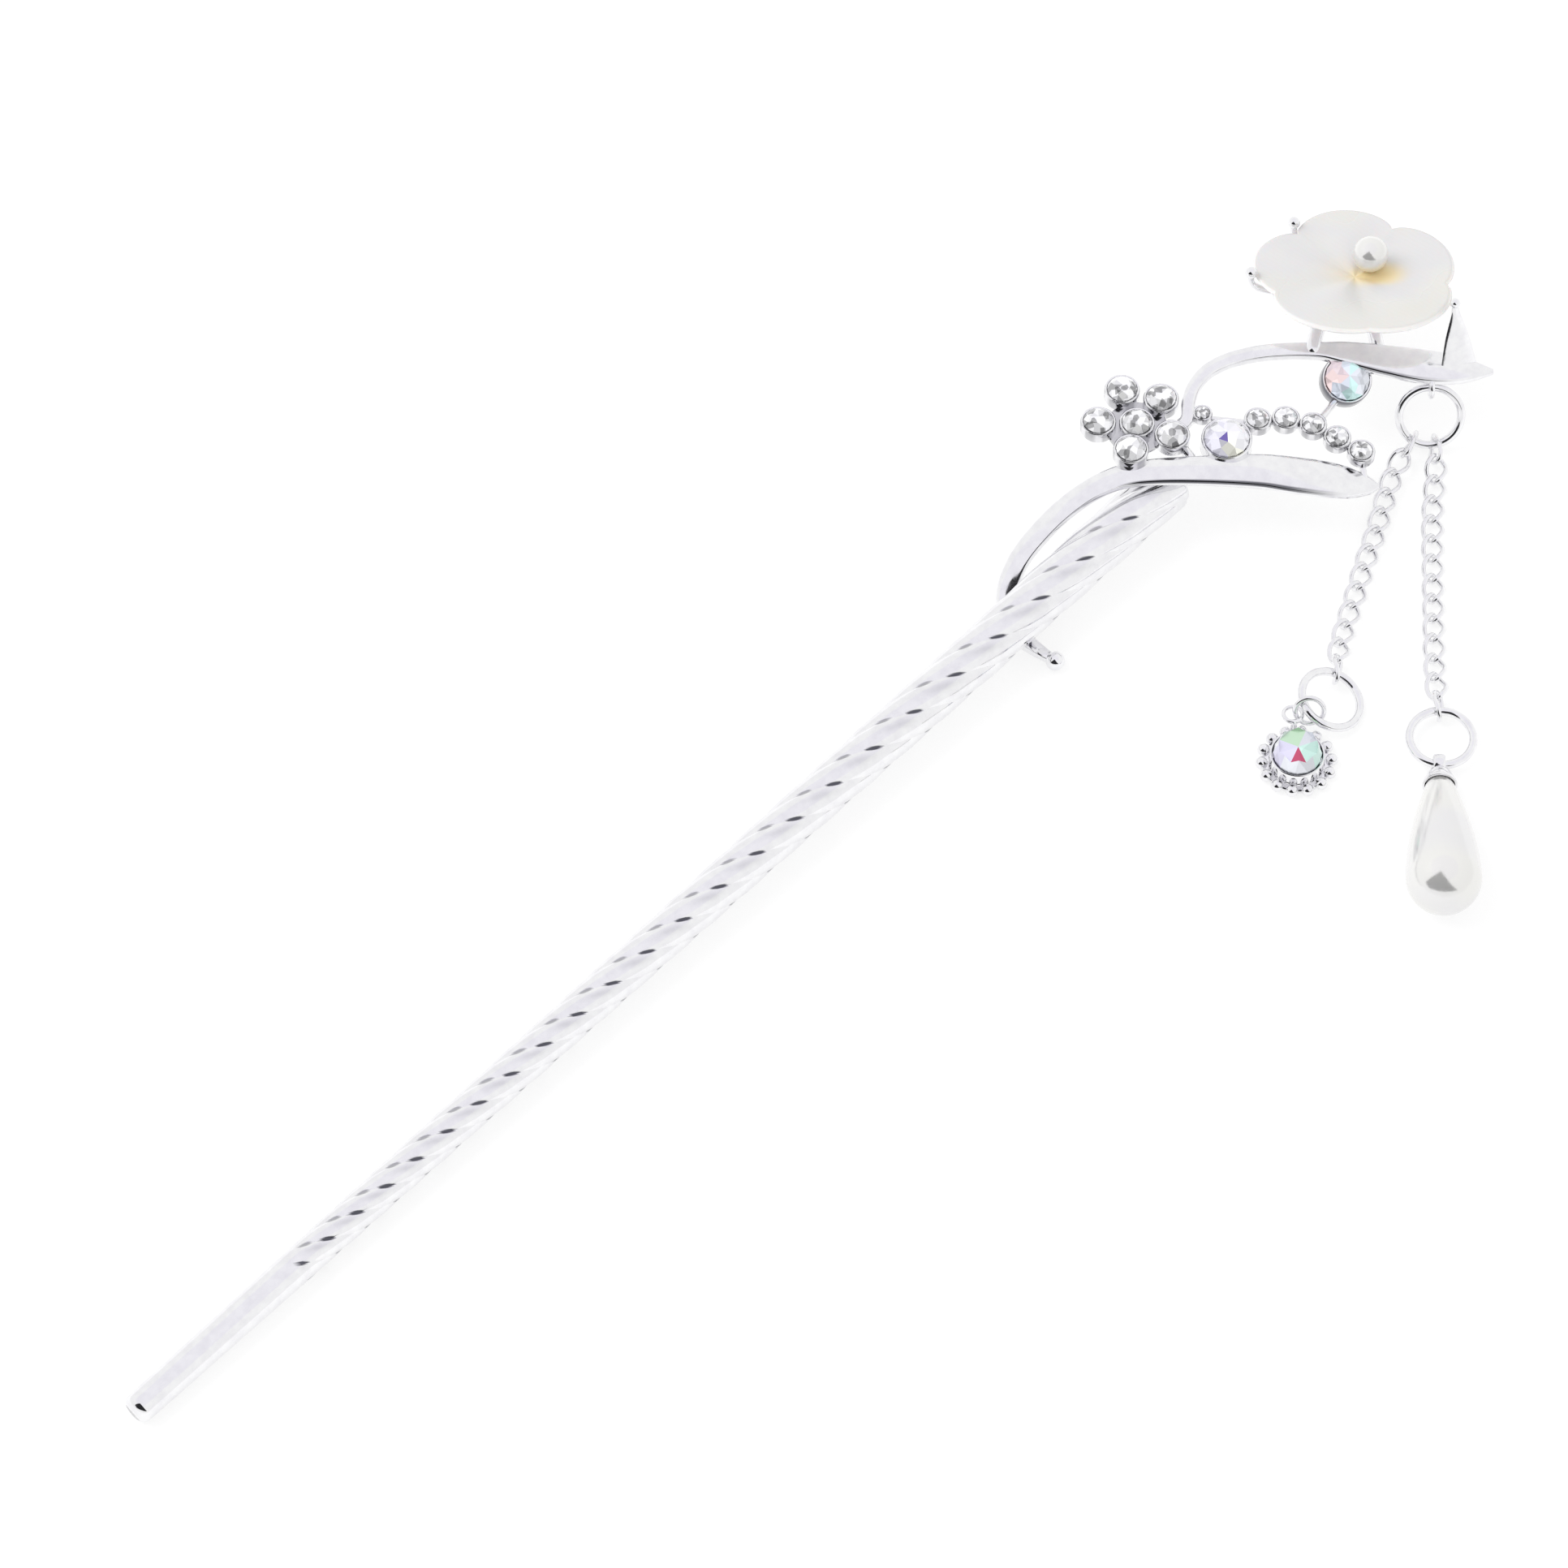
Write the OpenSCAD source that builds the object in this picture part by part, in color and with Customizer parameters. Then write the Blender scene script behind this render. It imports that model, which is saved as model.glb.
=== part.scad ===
// Hair stick with a twisted shank, a cast spray of leaves and stones, a shell flower and two chain drops.
// Lengths are millimetres. The stick lies on a table at z = 0, as it would by itself.
// Places are measured from the upper end of the shank: x along the shank, away from its tip,
// y to the side away from the drops, and z up from the table.

/* [Shank] */
// Length of the shank from its blunt tip to its upper end
shank_length = 147.5; // [142:0.5:153]
// Diameter just behind the blunt tip
tip_diameter = 3.15; // [2.9:0.05:3.3]
// Diameter over the lobes at the upper end
end_diameter = 5.8; // [5.5:0.05:5.85]
// Length of the plain stretch behind the tip
plain_length = 22.5; // [16:0.5:30]
// Number of lobes that twist round the shank
lobe_count = 5; // [4:1:6]
// Depth of the groove between two lobes
groove_depth = 0.4; // [0.2:0.05:0.5]
// Spacing of the grooves along the shank where the twist begins
groove_spacing = 3.75; // [3.4:0.05:4.2]

/* [Leaves] */
// Thickness of the bar that passes under the shank
bar_thickness = 1.4; // [1.2:0.05:1.5]
// Diameter of the ball at the end of the bar
tail_ball = 2; // [1.6:0.1:2.2]
// Width of the leaves, as a share of the usual one
leaf_width_share = 1; // [0.85:0.01:1.05]

/* [Stones] */
// Diameter of the clear stones of the cluster
cluster_stone = 3.1; // [2.7:0.1:3.2]
// Diameter of the clear stones in the curved row
row_stone = 2.3; // [1.9:0.1:2.4]
// Diameter of the small stone beside the stem
small_stone = 1.5; // [1.2:0.1:1.6]
// Diameter of the two rainbow stones on the leaves
leaf_stone = 4.7; // [4:0.1:4.8]
// Diameter of the rainbow stone in the round pendant
pendant_stone_d = 5; // [4.8:0.1:5.6]

/* [Flower] */
// Radius of the shell flower over its petals
flower_radius = 10.75; // [9.8:0.05:10.8]
// How far the deepest notch between petals reaches in, as a share of the radius
notch_share = 0.24; // [0.14:0.01:0.26]
// Lean of the flower away from upright, in degrees
flower_lean = 17; // [14:1:19]
// Diameter of the pearl in the flower
flower_pearl_d = 3.8; // [3.2:0.1:4]

/* [Rings and chains] */
// Wire of the three large jump rings
ring_wire = 0.9; // [0.8:0.05:0.9]
// Outer diameter of the three large jump rings
ring_d = 7.4; // [7.2:0.05:7.4]
// Wire of the chain links
link_wire = 0.5; // [0.44:0.02:0.52]
// Outer length of a chain link
link_length = 3.7; // [3.6:0.05:3.8]
// Outer width of a chain link
link_width = 2.5; // [2.4:0.05:2.5]
// Length that one link adds to a chain
link_pitch = 2.4; // [2.3:0.05:2.5]

/* [Drops] */
// Greatest diameter of the pearl drop
drop_d = 7.7; // [7.4:0.1:7.8]
// Length of the pearl drop
drop_length = 17.8; // [17.2:0.1:18.2]
// Number of beads round the pendant
bead_count = 14; // [12:1:16]

/* [Hidden] */

// Clearance between two pieces that touch on the real hair stick
gap = 0.08;
// Angle in plan between the shank and the side that the flower leans along
side_turn = 46;

silver = [0.86, 0.86, 0.88];
crystal = [0.93, 0.95, 0.97];
rainbow = [0.72, 0.84, 0.90];
shell_white = [0.95, 0.94, 0.90];
pearl_white = [0.96, 0.95, 0.93];

// Extent of the whole piece, which puts the origin at the middle of its base
far_x = 40.01;
far_y = 11.74;
near_y = -55.6;

module seat_on_origin() {
    translate([(shank_length - far_x) / 2, -(far_y + near_y) / 2, 0])
        children();
}

// Points and curves
function unit(v) = v / norm(v);
function mix(a, b, t) = a + (b - a) * t;
function last_of(v) = v[len(v) - 1];
function xyz(row) = [row[0], row[1], row[2]];
// Turns the vector a towards b, which is square to it, by an angle
function turned(a, b, angle) = a * cos(angle) + b * sin(angle);
// A smooth curve through p1 and p2 that also heeds their neighbours p0 and p3
function curve_row(p0, p1, p2, p3, t) =
    0.5 * (2 * p1 + (p2 - p0) * t + (2 * p0 - 5 * p1 + 4 * p2 - p3) * t * t
    + (3 * p1 - p0 - 3 * p2 + p3) * t * t * t);
// Every row of a table with a number of steps between each two
function curve_rows(rows, steps) = concat(
    [for (i = [0:len(rows) - 2], k = [0:steps - 1])
        curve_row(rows[max(i - 1, 0)], rows[i], rows[i + 1], rows[min(i + 2, len(rows) - 1)], k / steps)],
    [last_of(rows)]
);
function heading(path, i) = unit(xyz(path[min(i + 1, len(path) - 1)]) - xyz(path[max(i - 1, 0)]));
function length_to(path, i) = i == 0 ? 0 : length_to(path, i - 1) + norm(path[i] - path[i - 1]);

// Closed skin over a list of rings of points, each with the same count, with flat ends
module skin(rings) {
    count = len(rings[0]);
    stations = len(rings);
    sides = [for (i = [0:stations - 2], j = [0:count - 1], half = [0, 1])
        let (a = i * count + j, b = i * count + (j + 1) % count)
        half == 0 ? [a, a + count, b + count] : [a, b + count, b]];
    first_end = [for (j = [0:count - 1]) j];
    last_end = [for (j = [0:count - 1]) stations * count - 1 - j];
    polyhedron([for (ring = rings) each ring], concat([first_end], sides, [last_end]), convexity = 8);
}

// A section carried along a table of rows, each x, y, z, width, thickness
module sweep(rows, section, steps) {
    path = curve_rows(rows, steps);
    skin([for (i = [0:len(path) - 1])
        let (
            along = heading(path, i),
            side = unit(cross([0, 0, 1], along)),
            up = cross(along, side)
        )
        [for (p = section) xyz(path[i]) + side * p[0] * path[i][3] / 2 + up * p[1] * path[i][4] / 2]]);
}

// Sections, in half widths and half thicknesses
LEAF_SECTION = [[1, -0.6], [1, 0.3], [0.7, 0.8], [0, 1], [-0.7, 0.8], [-1, 0.3], [-1, -0.6], [0, -1]];
ROUND_SECTION = [for (k = [0:7]) [cos(45 * k), sin(45 * k)]];

// Shank
function shank_d(s) = mix(tip_diameter, end_diameter, s / shank_length);
// Turn of the grooves, counted in grooves, at a distance from the tip. Their spacing grows steadily.
groove_origin = 21.6;
spacing_growth = 0.0262;
function groove_turn(s) = ln(1 + spacing_growth * (s - groove_origin) / groove_spacing) / spacing_growth;
groove_start = 42.9;
bar_x = -23;
bar_gap = 0.15;
bar_top = bar_thickness + bar_gap;
bar_axis_z = bar_top + shank_d(shank_length + bar_x) / 2;
shank_rise = (bar_axis_z - tip_diameter / 2) / (shank_length + bar_x);
function axis_z(s) = tip_diameter / 2 + shank_rise * s;
// Depth of the section's surface under the lobes, by the place within one lobe from -1 to 1
LOBE_POINTS = [-1, -0.55, 0, 0.55];
function lobe_dip(q) = pow(abs(q), 3.5);
tip_round = 0.7;
function end_round(s) =
    s < tip_round ? 0.45 * pow(1 - s / tip_round, 2)
    : s > shank_length - tip_round ? 0.6 * pow(1 - (shank_length - s) / tip_round, 2)
    : 0;
function shank_ring(s, depth) = [for (lobe = [0:lobe_count - 1], q = LOBE_POINTS)
    let (
        angle = groove_start + 360 / lobe_count * (lobe + groove_turn(max(s, plain_length)) + (q + 1) / 2),
        r = shank_d(s) / 2 - depth * lobe_dip(q) - end_round(s)
    )
    [s - shank_length, r * cos(angle), axis_z(s) + r * sin(angle)]];
twist_step = 1.9;
twist_end = shank_length - 1;

module shank() {
    plain = [0, tip_round / 3, tip_round, plain_length / 2, plain_length];
    twisted = [for (s = [plain_length + 1.2:twist_step:twist_end]) s];
    ends = [shank_length - tip_round / 3, shank_length];
    seat_on_origin() color(silver)
        skin([
            for (s = plain) shank_ring(s, 0),
            for (s = concat(twisted, ends)) shank_ring(s, groove_depth)
        ]);
}

// Spray: leaves, stem, cups and calyx, which are one casting
// Each row: x, y, z, width, thickness
LOWER_LEAF = [
    [-22.9, -4.9, 0.95, 1.0, 1.0],
    [-23.1, -2.4, 0.80, 1.6, 1.2],
    [bar_x, 0.0, bar_thickness / 2 + 0.02, 2.0, bar_thickness],
    [-21.9, 2.6, 0.85, 2.1, 1.5],
    [-20.3, 4.3, 1.70, 2.2, 1.6],
    [-17.6, 5.2, 3.30, 2.3, 1.6],
    [-14.4, 5.2, 5.00, 2.4, 1.5],
    [-11.4, 4.7, 6.60, 2.5, 1.4],
    [-8.4, 3.8, 7.80, 2.6, 1.4],
    [-5.5, 2.5, 8.45, 2.8, 1.3],
    [-2.8, 0.5, 8.60, 3.1, 1.3],
    [0.9, -3.0, 8.55, 3.5, 1.4],
    [5.1, -7.0, 8.10, 4.1, 1.5],
    [8.0, -10.0, 7.30, 4.5, 1.5],
    [11.2, -13.1, 6.10, 4.2, 1.3],
    [13.4, -15.0, 5.00, 2.4, 1.0],
    [14.3, -15.8, 4.50, 0.5, 0.6]
];
UPPER_LEAF = [
    [2.6, 2.6, 8.10, 1.5, 1.3],
    [4.5, 2.3, 8.60, 1.5, 1.3],
    [6.2, 3.6, 8.90, 1.5, 1.3],
    [8.2, 4.5, 9.00, 1.5, 1.3],
    [10.7, 4.7, 9.00, 1.6, 1.3],
    [13.5, 3.8, 9.00, 1.7, 1.3],
    [16.7, 1.7, 9.00, 1.8, 1.3],
    [20.2, -1.5, 8.80, 2.0, 1.3],
    [22.2, -3.9, 8.60, 2.9, 1.4],
    [24.6, -7.1, 8.20, 3.8, 1.4],
    [27.2, -10.4, 7.70, 4.2, 1.4],
    [30.0, -13.3, 7.10, 3.3, 1.2],
    [32.4, -15.6, 6.50, 0.6, 0.6]
];

// Cut stones
cluster_z = 9.9;
cluster_x = 0.1;
cluster_y = 5.3;
// Each row: angle round the middle stone, distance from it
CLUSTER = [[0, 0], [63, 4.4], [132, 4.0], [4, 4.0], [212, 3.4], [291, 3.9]];
// Each row: x, y, z of the girdle, diameter
ROW = [
    [6.0, 1.5, 9.3, small_stone],
    [9.6, -3.0, 9.0, row_stone],
    [11.8, -4.9, 8.9, row_stone],
    [13.4, -7.3, 8.5, row_stone],
    [14.3, -9.9, 7.8, row_stone],
    [15.2, -12.5, 6.9, row_stone]
];
UPPER_STONE_PLACE = [20.6, -5.7, 7.6];
LOWER_STONE_PLACE = [5.3, -2.5, 9.4];
// Turn of the upper rainbow stone towards the near side, and its lean along the leaf
upper_stone_tip = 20;
upper_stone_lean = 8;
cup_wall = 0.22;
crown_share = 0.2;
girdle_share = 0.06;
pavilion_share = 0.26;
table_share = 0.56;
culet_share = 0.12;
function cluster_place(k) = [
    cluster_x + CLUSTER[k][1] * cos(CLUSTER[k][0]),
    cluster_y + CLUSTER[k][1] * sin(CLUSTER[k][0]),
    cluster_z
];
function octagon(r, turn, z) = [for (k = [0:7]) [r * cos(45 * k + turn), r * sin(45 * k + turn), z]];

// Brilliant with a flat table, a crown of kites and triangles, and eight facets below, its girdle at z = 0
module cut_stone(d, pavilion = pavilion_share) {
    table_at = 0;
    girdle_top = 8;
    girdle_base = 16;
    culet = 24;
    points = concat(
        octagon(table_share * d / 2, 0, (crown_share + girdle_share) * d),
        octagon(d / 2, 22.5, girdle_share * d / 2),
        octagon(d / 2, 22.5, -girdle_share * d / 2),
        octagon(culet_share * d / 2, 22.5, -(pavilion + girdle_share) * d)
    );
    faces = concat(
        [[for (k = [7:-1:0]) table_at + k]],
        [for (k = [0:7]) [table_at + k, table_at + (k + 1) % 8, girdle_top + k]],
        [for (k = [0:7]) [table_at + (k + 1) % 8, girdle_top + (k + 1) % 8, girdle_top + k]],
        [for (k = [0:7], top = [girdle_top, girdle_base])
            [top + k, top + (k + 1) % 8, top + (k + 1) % 8 + 8, top + k + 8]],
        [[for (k = [0:7]) culet + k]]
    );
    polyhedron(points, faces);
}

function cup_r(d) = d / 2 + gap + cup_wall;
function cup_depth(d, pavilion = pavilion_share) = (pavilion + girdle_share) * d + gap;
// Round cup that a stone of diameter d sits in, with its rim at the stone's girdle
module cup(d, base, sides) {
    translate([0, 0, -cup_depth(d) - base])
        cylinder(h = cup_depth(d) + base, r = cup_r(d), $fn = sides);
}
module cup_hollow(d, sides, pavilion = pavilion_share) {
    translate([0, 0, -cup_depth(d, pavilion)])
        cylinder(h = cup_depth(d, pavilion) + 0.36 * d, r = d / 2 + gap, $fn = sides);
}
cup_base = 0.4;
module at_upper_stone() {
    translate(UPPER_STONE_PLACE) rotate([0, 0, -side_turn]) rotate([upper_stone_tip, upper_stone_lean, 0])
        children();
}
module bar(a, b, thickness) {
    hull() {
        translate(a) sphere(d = thickness, $fn = 6);
        translate(b) sphere(d = thickness, $fn = 6);
    }
}

module cups() {
    for (k = [0:5]) translate(cluster_place(k)) cup(cluster_stone, cup_base, 18);
    for (row = ROW) translate(xyz(row)) cup(row[3], cup_base, 14);
    translate(LOWER_STONE_PLACE) cup(leaf_stone, cup_base, 24);
    at_upper_stone() cup(leaf_stone, cup_base, 24);
}
module cup_hollows() {
    for (k = [0:5]) translate(cluster_place(k)) cup_hollow(cluster_stone, 18);
    for (row = ROW) translate(xyz(row)) cup_hollow(row[3], 14);
    translate(LOWER_STONE_PLACE) cup_hollow(leaf_stone, 24);
    at_upper_stone() cup_hollow(leaf_stone, 24);
}
// Bars under the cups that join them to each other and to the leaves
cluster_bar_z = cluster_z - cup_depth(cluster_stone) - 0.3;
// Thickness of the plate under the middle of the cluster
cluster_plate = 0.5;
row_bar_drop = cup_depth(row_stone) + 0.2;
function under(place, drop) = [place[0], place[1], place[2] - drop];
module cup_bars() {
    middle = [cluster_x, cluster_y, cluster_bar_z];
    for (k = [1:5]) bar(middle, [cluster_place(k)[0], cluster_place(k)[1], cluster_bar_z], 0.9);
    translate([cluster_x, cluster_y, cluster_bar_z]) cylinder(h = cluster_plate, r = 3.2, $fn = 24);
    bar(under(cluster_place(4), 1.5), [-2.8, 1.2, 8.5], 1.1);
    bar(under(cluster_place(5), 1.5), [2.6, 2.6, 8.1], 1.1);
    bar([2.6, 2.6, 8.1], [1.0, -2.4, 8.5], 1.1);
    bar(under(LOWER_STONE_PLACE, 1.9), [3.6, -5.0, 8.2], 1.2);
    for (k = [0:4]) bar(under(ROW[k], row_bar_drop), under(ROW[k + 1], row_bar_drop), 0.7);
    bar(under(ROW[0], row_bar_drop), [4.5, 2.3, 8.4], 0.8);
    bar(under(ROW[5], row_bar_drop), [13.4, -14.8, 5.1], 0.7);
    bar(under(UPPER_STONE_PLACE, 1.6), [22.3, -4.6, 8.2], 1.2);
    bar(under(UPPER_STONE_PLACE, 1.6), under(ROW[3], row_bar_drop), 0.8);
}

// Calyx that carries the flower, in the flower's own leaning frame with its rim at z = 0
FLOWER_PLACE = [29.8, 1.65, 10.8];
module at_flower() {
    translate(FLOWER_PLACE) rotate([0, 0, -side_turn]) rotate([-flower_lean, 0, 0])
        children();
}
function polar(angle, r, z) = [r * cos(angle), r * sin(angle), z];
calyx_top = -2.5;
// Each row: distance from the middle, height, width, thickness
ARM_SHAPE = [
    [0, -2.9, 1.6, 0.8],
    [5, -2.6, 1.3, 0.8],
    [9, -2, 1.1, 0.7],
    [10.6, -1.1, 0.9, 0.7],
    [10.9, 0.2, 0.7, 0.6]
];
// Each row: angle, share of the arm's reach
ARMS = [[128, 0.89], [186, 1.01]];
arm_ball = 1.3;
// Point on the leaf's stem and the two places on the leaf that carry the flower, in the flower's frame
POST_FOOT = [-4.7, -8.1, -4.35];
POST_HEAD = [-4, -5.6, -2.9];
SEAT_FOOT = [2.3, -7.2, -5.3];
SEAT_HEAD = [1.6, -5, -3.2];
SIDE_FOOT = [10.6, -8.6, -6.35];
SIDE_TIP = [9.9, -6.9, 0.75];
module calyx() {
    at_flower() {
        translate([0, 0, calyx_top - 0.8]) cylinder(h = 0.8, r = 3.2, $fn = 20);
        for (arm = ARMS) {
            sweep([for (row = ARM_SHAPE)
                concat(polar(arm[0], row[0] * arm[1], row[1]), [row[2], row[3]])], ROUND_SECTION, 2);
            translate(polar(arm[0], last_of(ARM_SHAPE)[0] * arm[1], last_of(ARM_SHAPE)[1] + 0.2))
                sphere(d = arm_ball, $fn = 12);
        }
        bar(POST_FOOT, POST_HEAD, 1.6);
        bar(POST_HEAD, [-1, -1.5, -3.1], 1.3);
        bar(SEAT_FOOT, SEAT_HEAD, 1.5);
        bar(SEAT_HEAD, [0.5, -1.5, -3.1], 1.4);
        sweep([
            concat(SIDE_FOOT, [4.2, 0.4]),
            concat(mix(SIDE_FOOT, SIDE_TIP, 0.45), [2.8, 0.36]),
            concat(mix(SIDE_FOOT, SIDE_TIP, 0.8), [1.2, 0.34]),
            concat(SIDE_TIP, [0.6, 0.45])
        ], ROUND_SECTION, 2);
        translate(SIDE_TIP) sphere(d = arm_ball - 0.2, $fn = 12);
    }
}

// Jump ring or loop as a true torus, flat in its own frame
module torus(wire, outer_d) {
    rotate_extrude($fn = 64) translate([(outer_d - wire) / 2, 0]) circle(d = wire, $fn = 24);
}
module faceted_torus(wire, outer_d) {
    rotate_extrude($fn = 20) translate([(outer_d - wire) / 2, 0]) circle(d = wire, $fn = 8);
}

// The top ring leans from the leaf's loop down to the chains
RING_TOP_PLACE = [25.2, -13.5, 3.86];
ring_top_lean = 57;
ring_radius = (ring_d - ring_wire) / 2;
// Point on the top ring by its angle, from the side at 0 to the top at 90
function side_way() = [cos(side_turn), -sin(side_turn), 0];
function back_way() = [sin(side_turn), cos(side_turn), 0];
function ring_top_point(angle) = RING_TOP_PLACE
    + ring_radius * cos(angle) * side_way()
    + ring_radius * sin(angle) * turned(back_way(), [0, 0, 1], ring_top_lean);
leaf_loop_d = 2.6;
leaf_loop_wire = 0.6;
module leaf_loop() {
    translate(ring_top_point(90)) rotate([0, 0, -side_turn]) rotate([0, 90, 0])
        faceted_torus(leaf_loop_wire, leaf_loop_d);
}

module spray() {
    seat_on_origin() color(silver) difference() {
        union() {
            sweep([for (row = LOWER_LEAF) [row[0], row[1], row[2], row[3] * leaf_width_share, row[4]]],
                LEAF_SECTION, 2);
            sweep([for (row = UPPER_LEAF) [row[0], row[1], row[2], row[3] * leaf_width_share, row[4]]],
                LEAF_SECTION, 2);
            translate([LOWER_LEAF[0][0], LOWER_LEAF[0][1], tail_ball / 2]) sphere(d = tail_ball, $fn = 16);
            cups();
            cup_bars();
            calyx();
            leaf_loop();
        }
        cup_hollows();
    }
}

// Shell flower: five petals round a hollow middle
petal_count = 5;
petal_turn = 95;
flower_round = 50;
flower_rings = 6;
flower_dip = 1.0;
middle_thickness = 1.3;
rim_thickness = 0.7;
petal_crown = 0.45;
// 1 in the middle of a petal and 0 in a notch
function petal_wave(angle) = abs(cos(petal_count / 2 * (angle - petal_turn)));
// Depth of a notch as a share of the deepest one's, which is at the far side
function notch_part(angle) = 0.65 + 0.35 * cos(angle - 100);
// Extra reach of the petal at the near right, as a share of the radius
function petal_swell(angle) = 0.06 * pow(max(0, cos(angle - 315)), 6);
function petal_reach(angle) = flower_radius * (1 + petal_swell(angle)
    - notch_share * notch_part(angle) * (1 - pow(petal_wave(angle), 0.55)));
function petal_top(angle, share) = flower_dip * (pow(share, 1.6) - 1)
    + petal_crown * petal_wave(angle) * sin(180 * share);
function petal_base(angle, share) = petal_top(angle, share) - mix(middle_thickness, rim_thickness, share);
function flower_ring(share, base) = [for (j = [0:flower_round - 1])
    let (angle = 360 / flower_round * j)
    polar(angle, petal_reach(angle) * share, base ? petal_base(angle, share) : petal_top(angle, share))];
middle_share = 0.08;

module shell_flower() {
    shares = [for (i = [0:flower_rings]) mix(middle_share, 1, i / flower_rings)];
    seat_on_origin() at_flower() color(shell_white)
        skin(concat(
            [for (i = [0:flower_rings]) flower_ring(shares[i], true)],
            [for (i = [flower_rings:-1:0]) flower_ring(shares[i], false)]
        ));
}

PEARL_PLACE = [1.6, 1];
module flower_pearl() {
    seat_on_origin() at_flower() color(pearl_white)
        translate([PEARL_PLACE[0], PEARL_PLACE[1], flower_pearl_d / 2 + gap - flower_dip + 0.22])
            sphere(d = flower_pearl_d);
}

module cluster_stone(k) {
    seat_on_origin() color(crystal) translate(cluster_place(k)) cut_stone(cluster_stone);
}
module row_stone(k) {
    seat_on_origin() color(crystal) translate(xyz(ROW[k])) cut_stone(ROW[k][3]);
}
module upper_leaf_stone() {
    seat_on_origin() color(rainbow) at_upper_stone() cut_stone(leaf_stone);
}
module lower_leaf_stone() {
    seat_on_origin() color(rainbow) translate(LOWER_STONE_PLACE) cut_stone(leaf_stone);
}

// Jump rings, each with its place and the way its plane leans
RING_LEFT_PLACE = [-7.14, -28.59, 1.68];
ring_left_lean = 2.8;
ring_left_side = 20.8;
RING_RIGHT_PLACE = [-2.6, -39.6, 1.25];
module ring_top() {
    seat_on_origin() color(silver) translate(RING_TOP_PLACE)
        rotate([0, 0, -side_turn]) rotate([ring_top_lean, 0, 0]) torus(ring_wire, ring_d);
}
module ring_left() {
    seat_on_origin() color(silver) translate(RING_LEFT_PLACE)
        rotate([0, 0, -side_turn]) rotate([ring_left_lean, ring_left_side, 0]) torus(ring_wire, ring_d);
}
module ring_right() {
    seat_on_origin() color(silver) translate(RING_RIGHT_PLACE) torus(ring_wire, ring_d);
}

// Chains of twisted oval links, every link a closed ring of wire
link_steps = 12;
wire_sides = 5;
link_a = (link_length - link_wire) / 2;
link_b = (link_width - link_wire) / 2;
// Middle of the wire of a link, in the link's frame: along the chain, to the side, and up.
// Roll is the wire's turn about the chain, which goes from roll_a at the start to roll_b at the end.
function link_point(t, roll_a, roll_b) =
    let (roll = (roll_a + roll_b) / 2 + (roll_b - roll_a) / 2 * cos(t))
    [link_a * cos(t), link_b * sin(t) * cos(roll), link_b * sin(t) * sin(roll)];
function link_ring(t, roll_a, roll_b) =
    let (
        middle = link_point(t, roll_a, roll_b),
        along = unit(link_point(t + 1, roll_a, roll_b) - link_point(t - 1, roll_a, roll_b)),
        out = unit(middle - along * (middle * along)),
        side = cross(along, out)
    )
    [for (k = [0:wire_sides - 1]) middle + link_wire / 2 * turned(out, side, 360 / wire_sides * k)];
// Points of one link between the joints p and q
function link_points(p, q, roll_a, roll_b) =
    let (
        along = unit(q - p),
        side = unit(cross([0, 0, 1], along)),
        up = cross(along, side),
        middle = (p + q) / 2
    )
    [for (i = [0:link_steps - 1]) each [for (c = link_ring(360 / link_steps * i, roll_a, roll_b))
        middle + along * c[0] + side * c[1] + up * c[2]]];
function link_faces(base) = [for (i = [0:link_steps - 1], k = [0:wire_sides - 1], half = [0, 1])
    let (
        a = base + i * wire_sides + k,
        b = base + i * wire_sides + (k + 1) % wire_sides,
        c = base + (i + 1) % link_steps * wire_sides + k,
        d = base + (i + 1) % link_steps * wire_sides + (k + 1) % wire_sides
    )
    half == 0 ? [a, d, b] : [a, c, d]];

lie_roll = 50;
hook_roll = 90;
// Distance from the middle of an end link to the wire of the ring that it holds
hook = 0.6;
// Height of the middle of a chain that lies flat, and of an end link that stands in a ring
lie_z = 0.69;
hook_z = 1.25;
// Height of a chain at a distance from a ring whose wire is at height end_z, the distance in links
function rise(links, end_z) =
    (hook_z - lie_z) * max(0, min(1, (2.6 - links) / 1.6)) + (end_z - hook_z) * max(0, 1 - links / 2);
// The chain's joints, spread evenly along a smooth path that passes both rings
function even_points(path, count, start_z, finish_z) =
    let (
        reach = [for (i = [0:len(path) - 1]) length_to(path, i)],
        xs = [for (i = [0:len(path) - 1]) [reach[i], path[i][0]]],
        ys = [for (i = [0:len(path) - 1]) [reach[i], path[i][1]]]
    )
    [for (k = [0:count])
        let (s = last_of(reach) * k / count)
        [lookup(s, xs), lookup(s, ys), lie_z + rise(k, start_z) + rise(count - k, finish_z)]];
function chain_path(start, rows, finish) =
    let (
        overshoot = link_pitch / 2 - hook,
        first = start + unit(start - rows[0]) * overshoot,
        final = finish + unit(finish - last_of(rows)) * overshoot
    )
    curve_rows(concat([first], rows, [final]), 6);
function in_plan(p) = [p[0], p[1]];

module chain(start, rows, finish, finish_roll) {
    path = chain_path(in_plan(start), rows, in_plan(finish));
    count = round(length_to(path, len(path) - 1) / link_pitch);
    joints = even_points(path, count, start[2], finish[2]);
    points = [for (i = [0:count - 1]) each link_points(joints[i], joints[i + 1],
        i == 0 ? hook_roll : -lie_roll, i == count - 1 ? -finish_roll : lie_roll)];
    faces = [for (i = [0:count - 1]) each link_faces(i * link_steps * wire_sides)];
    polyhedron(points, faces, convexity = 10);
}

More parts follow.
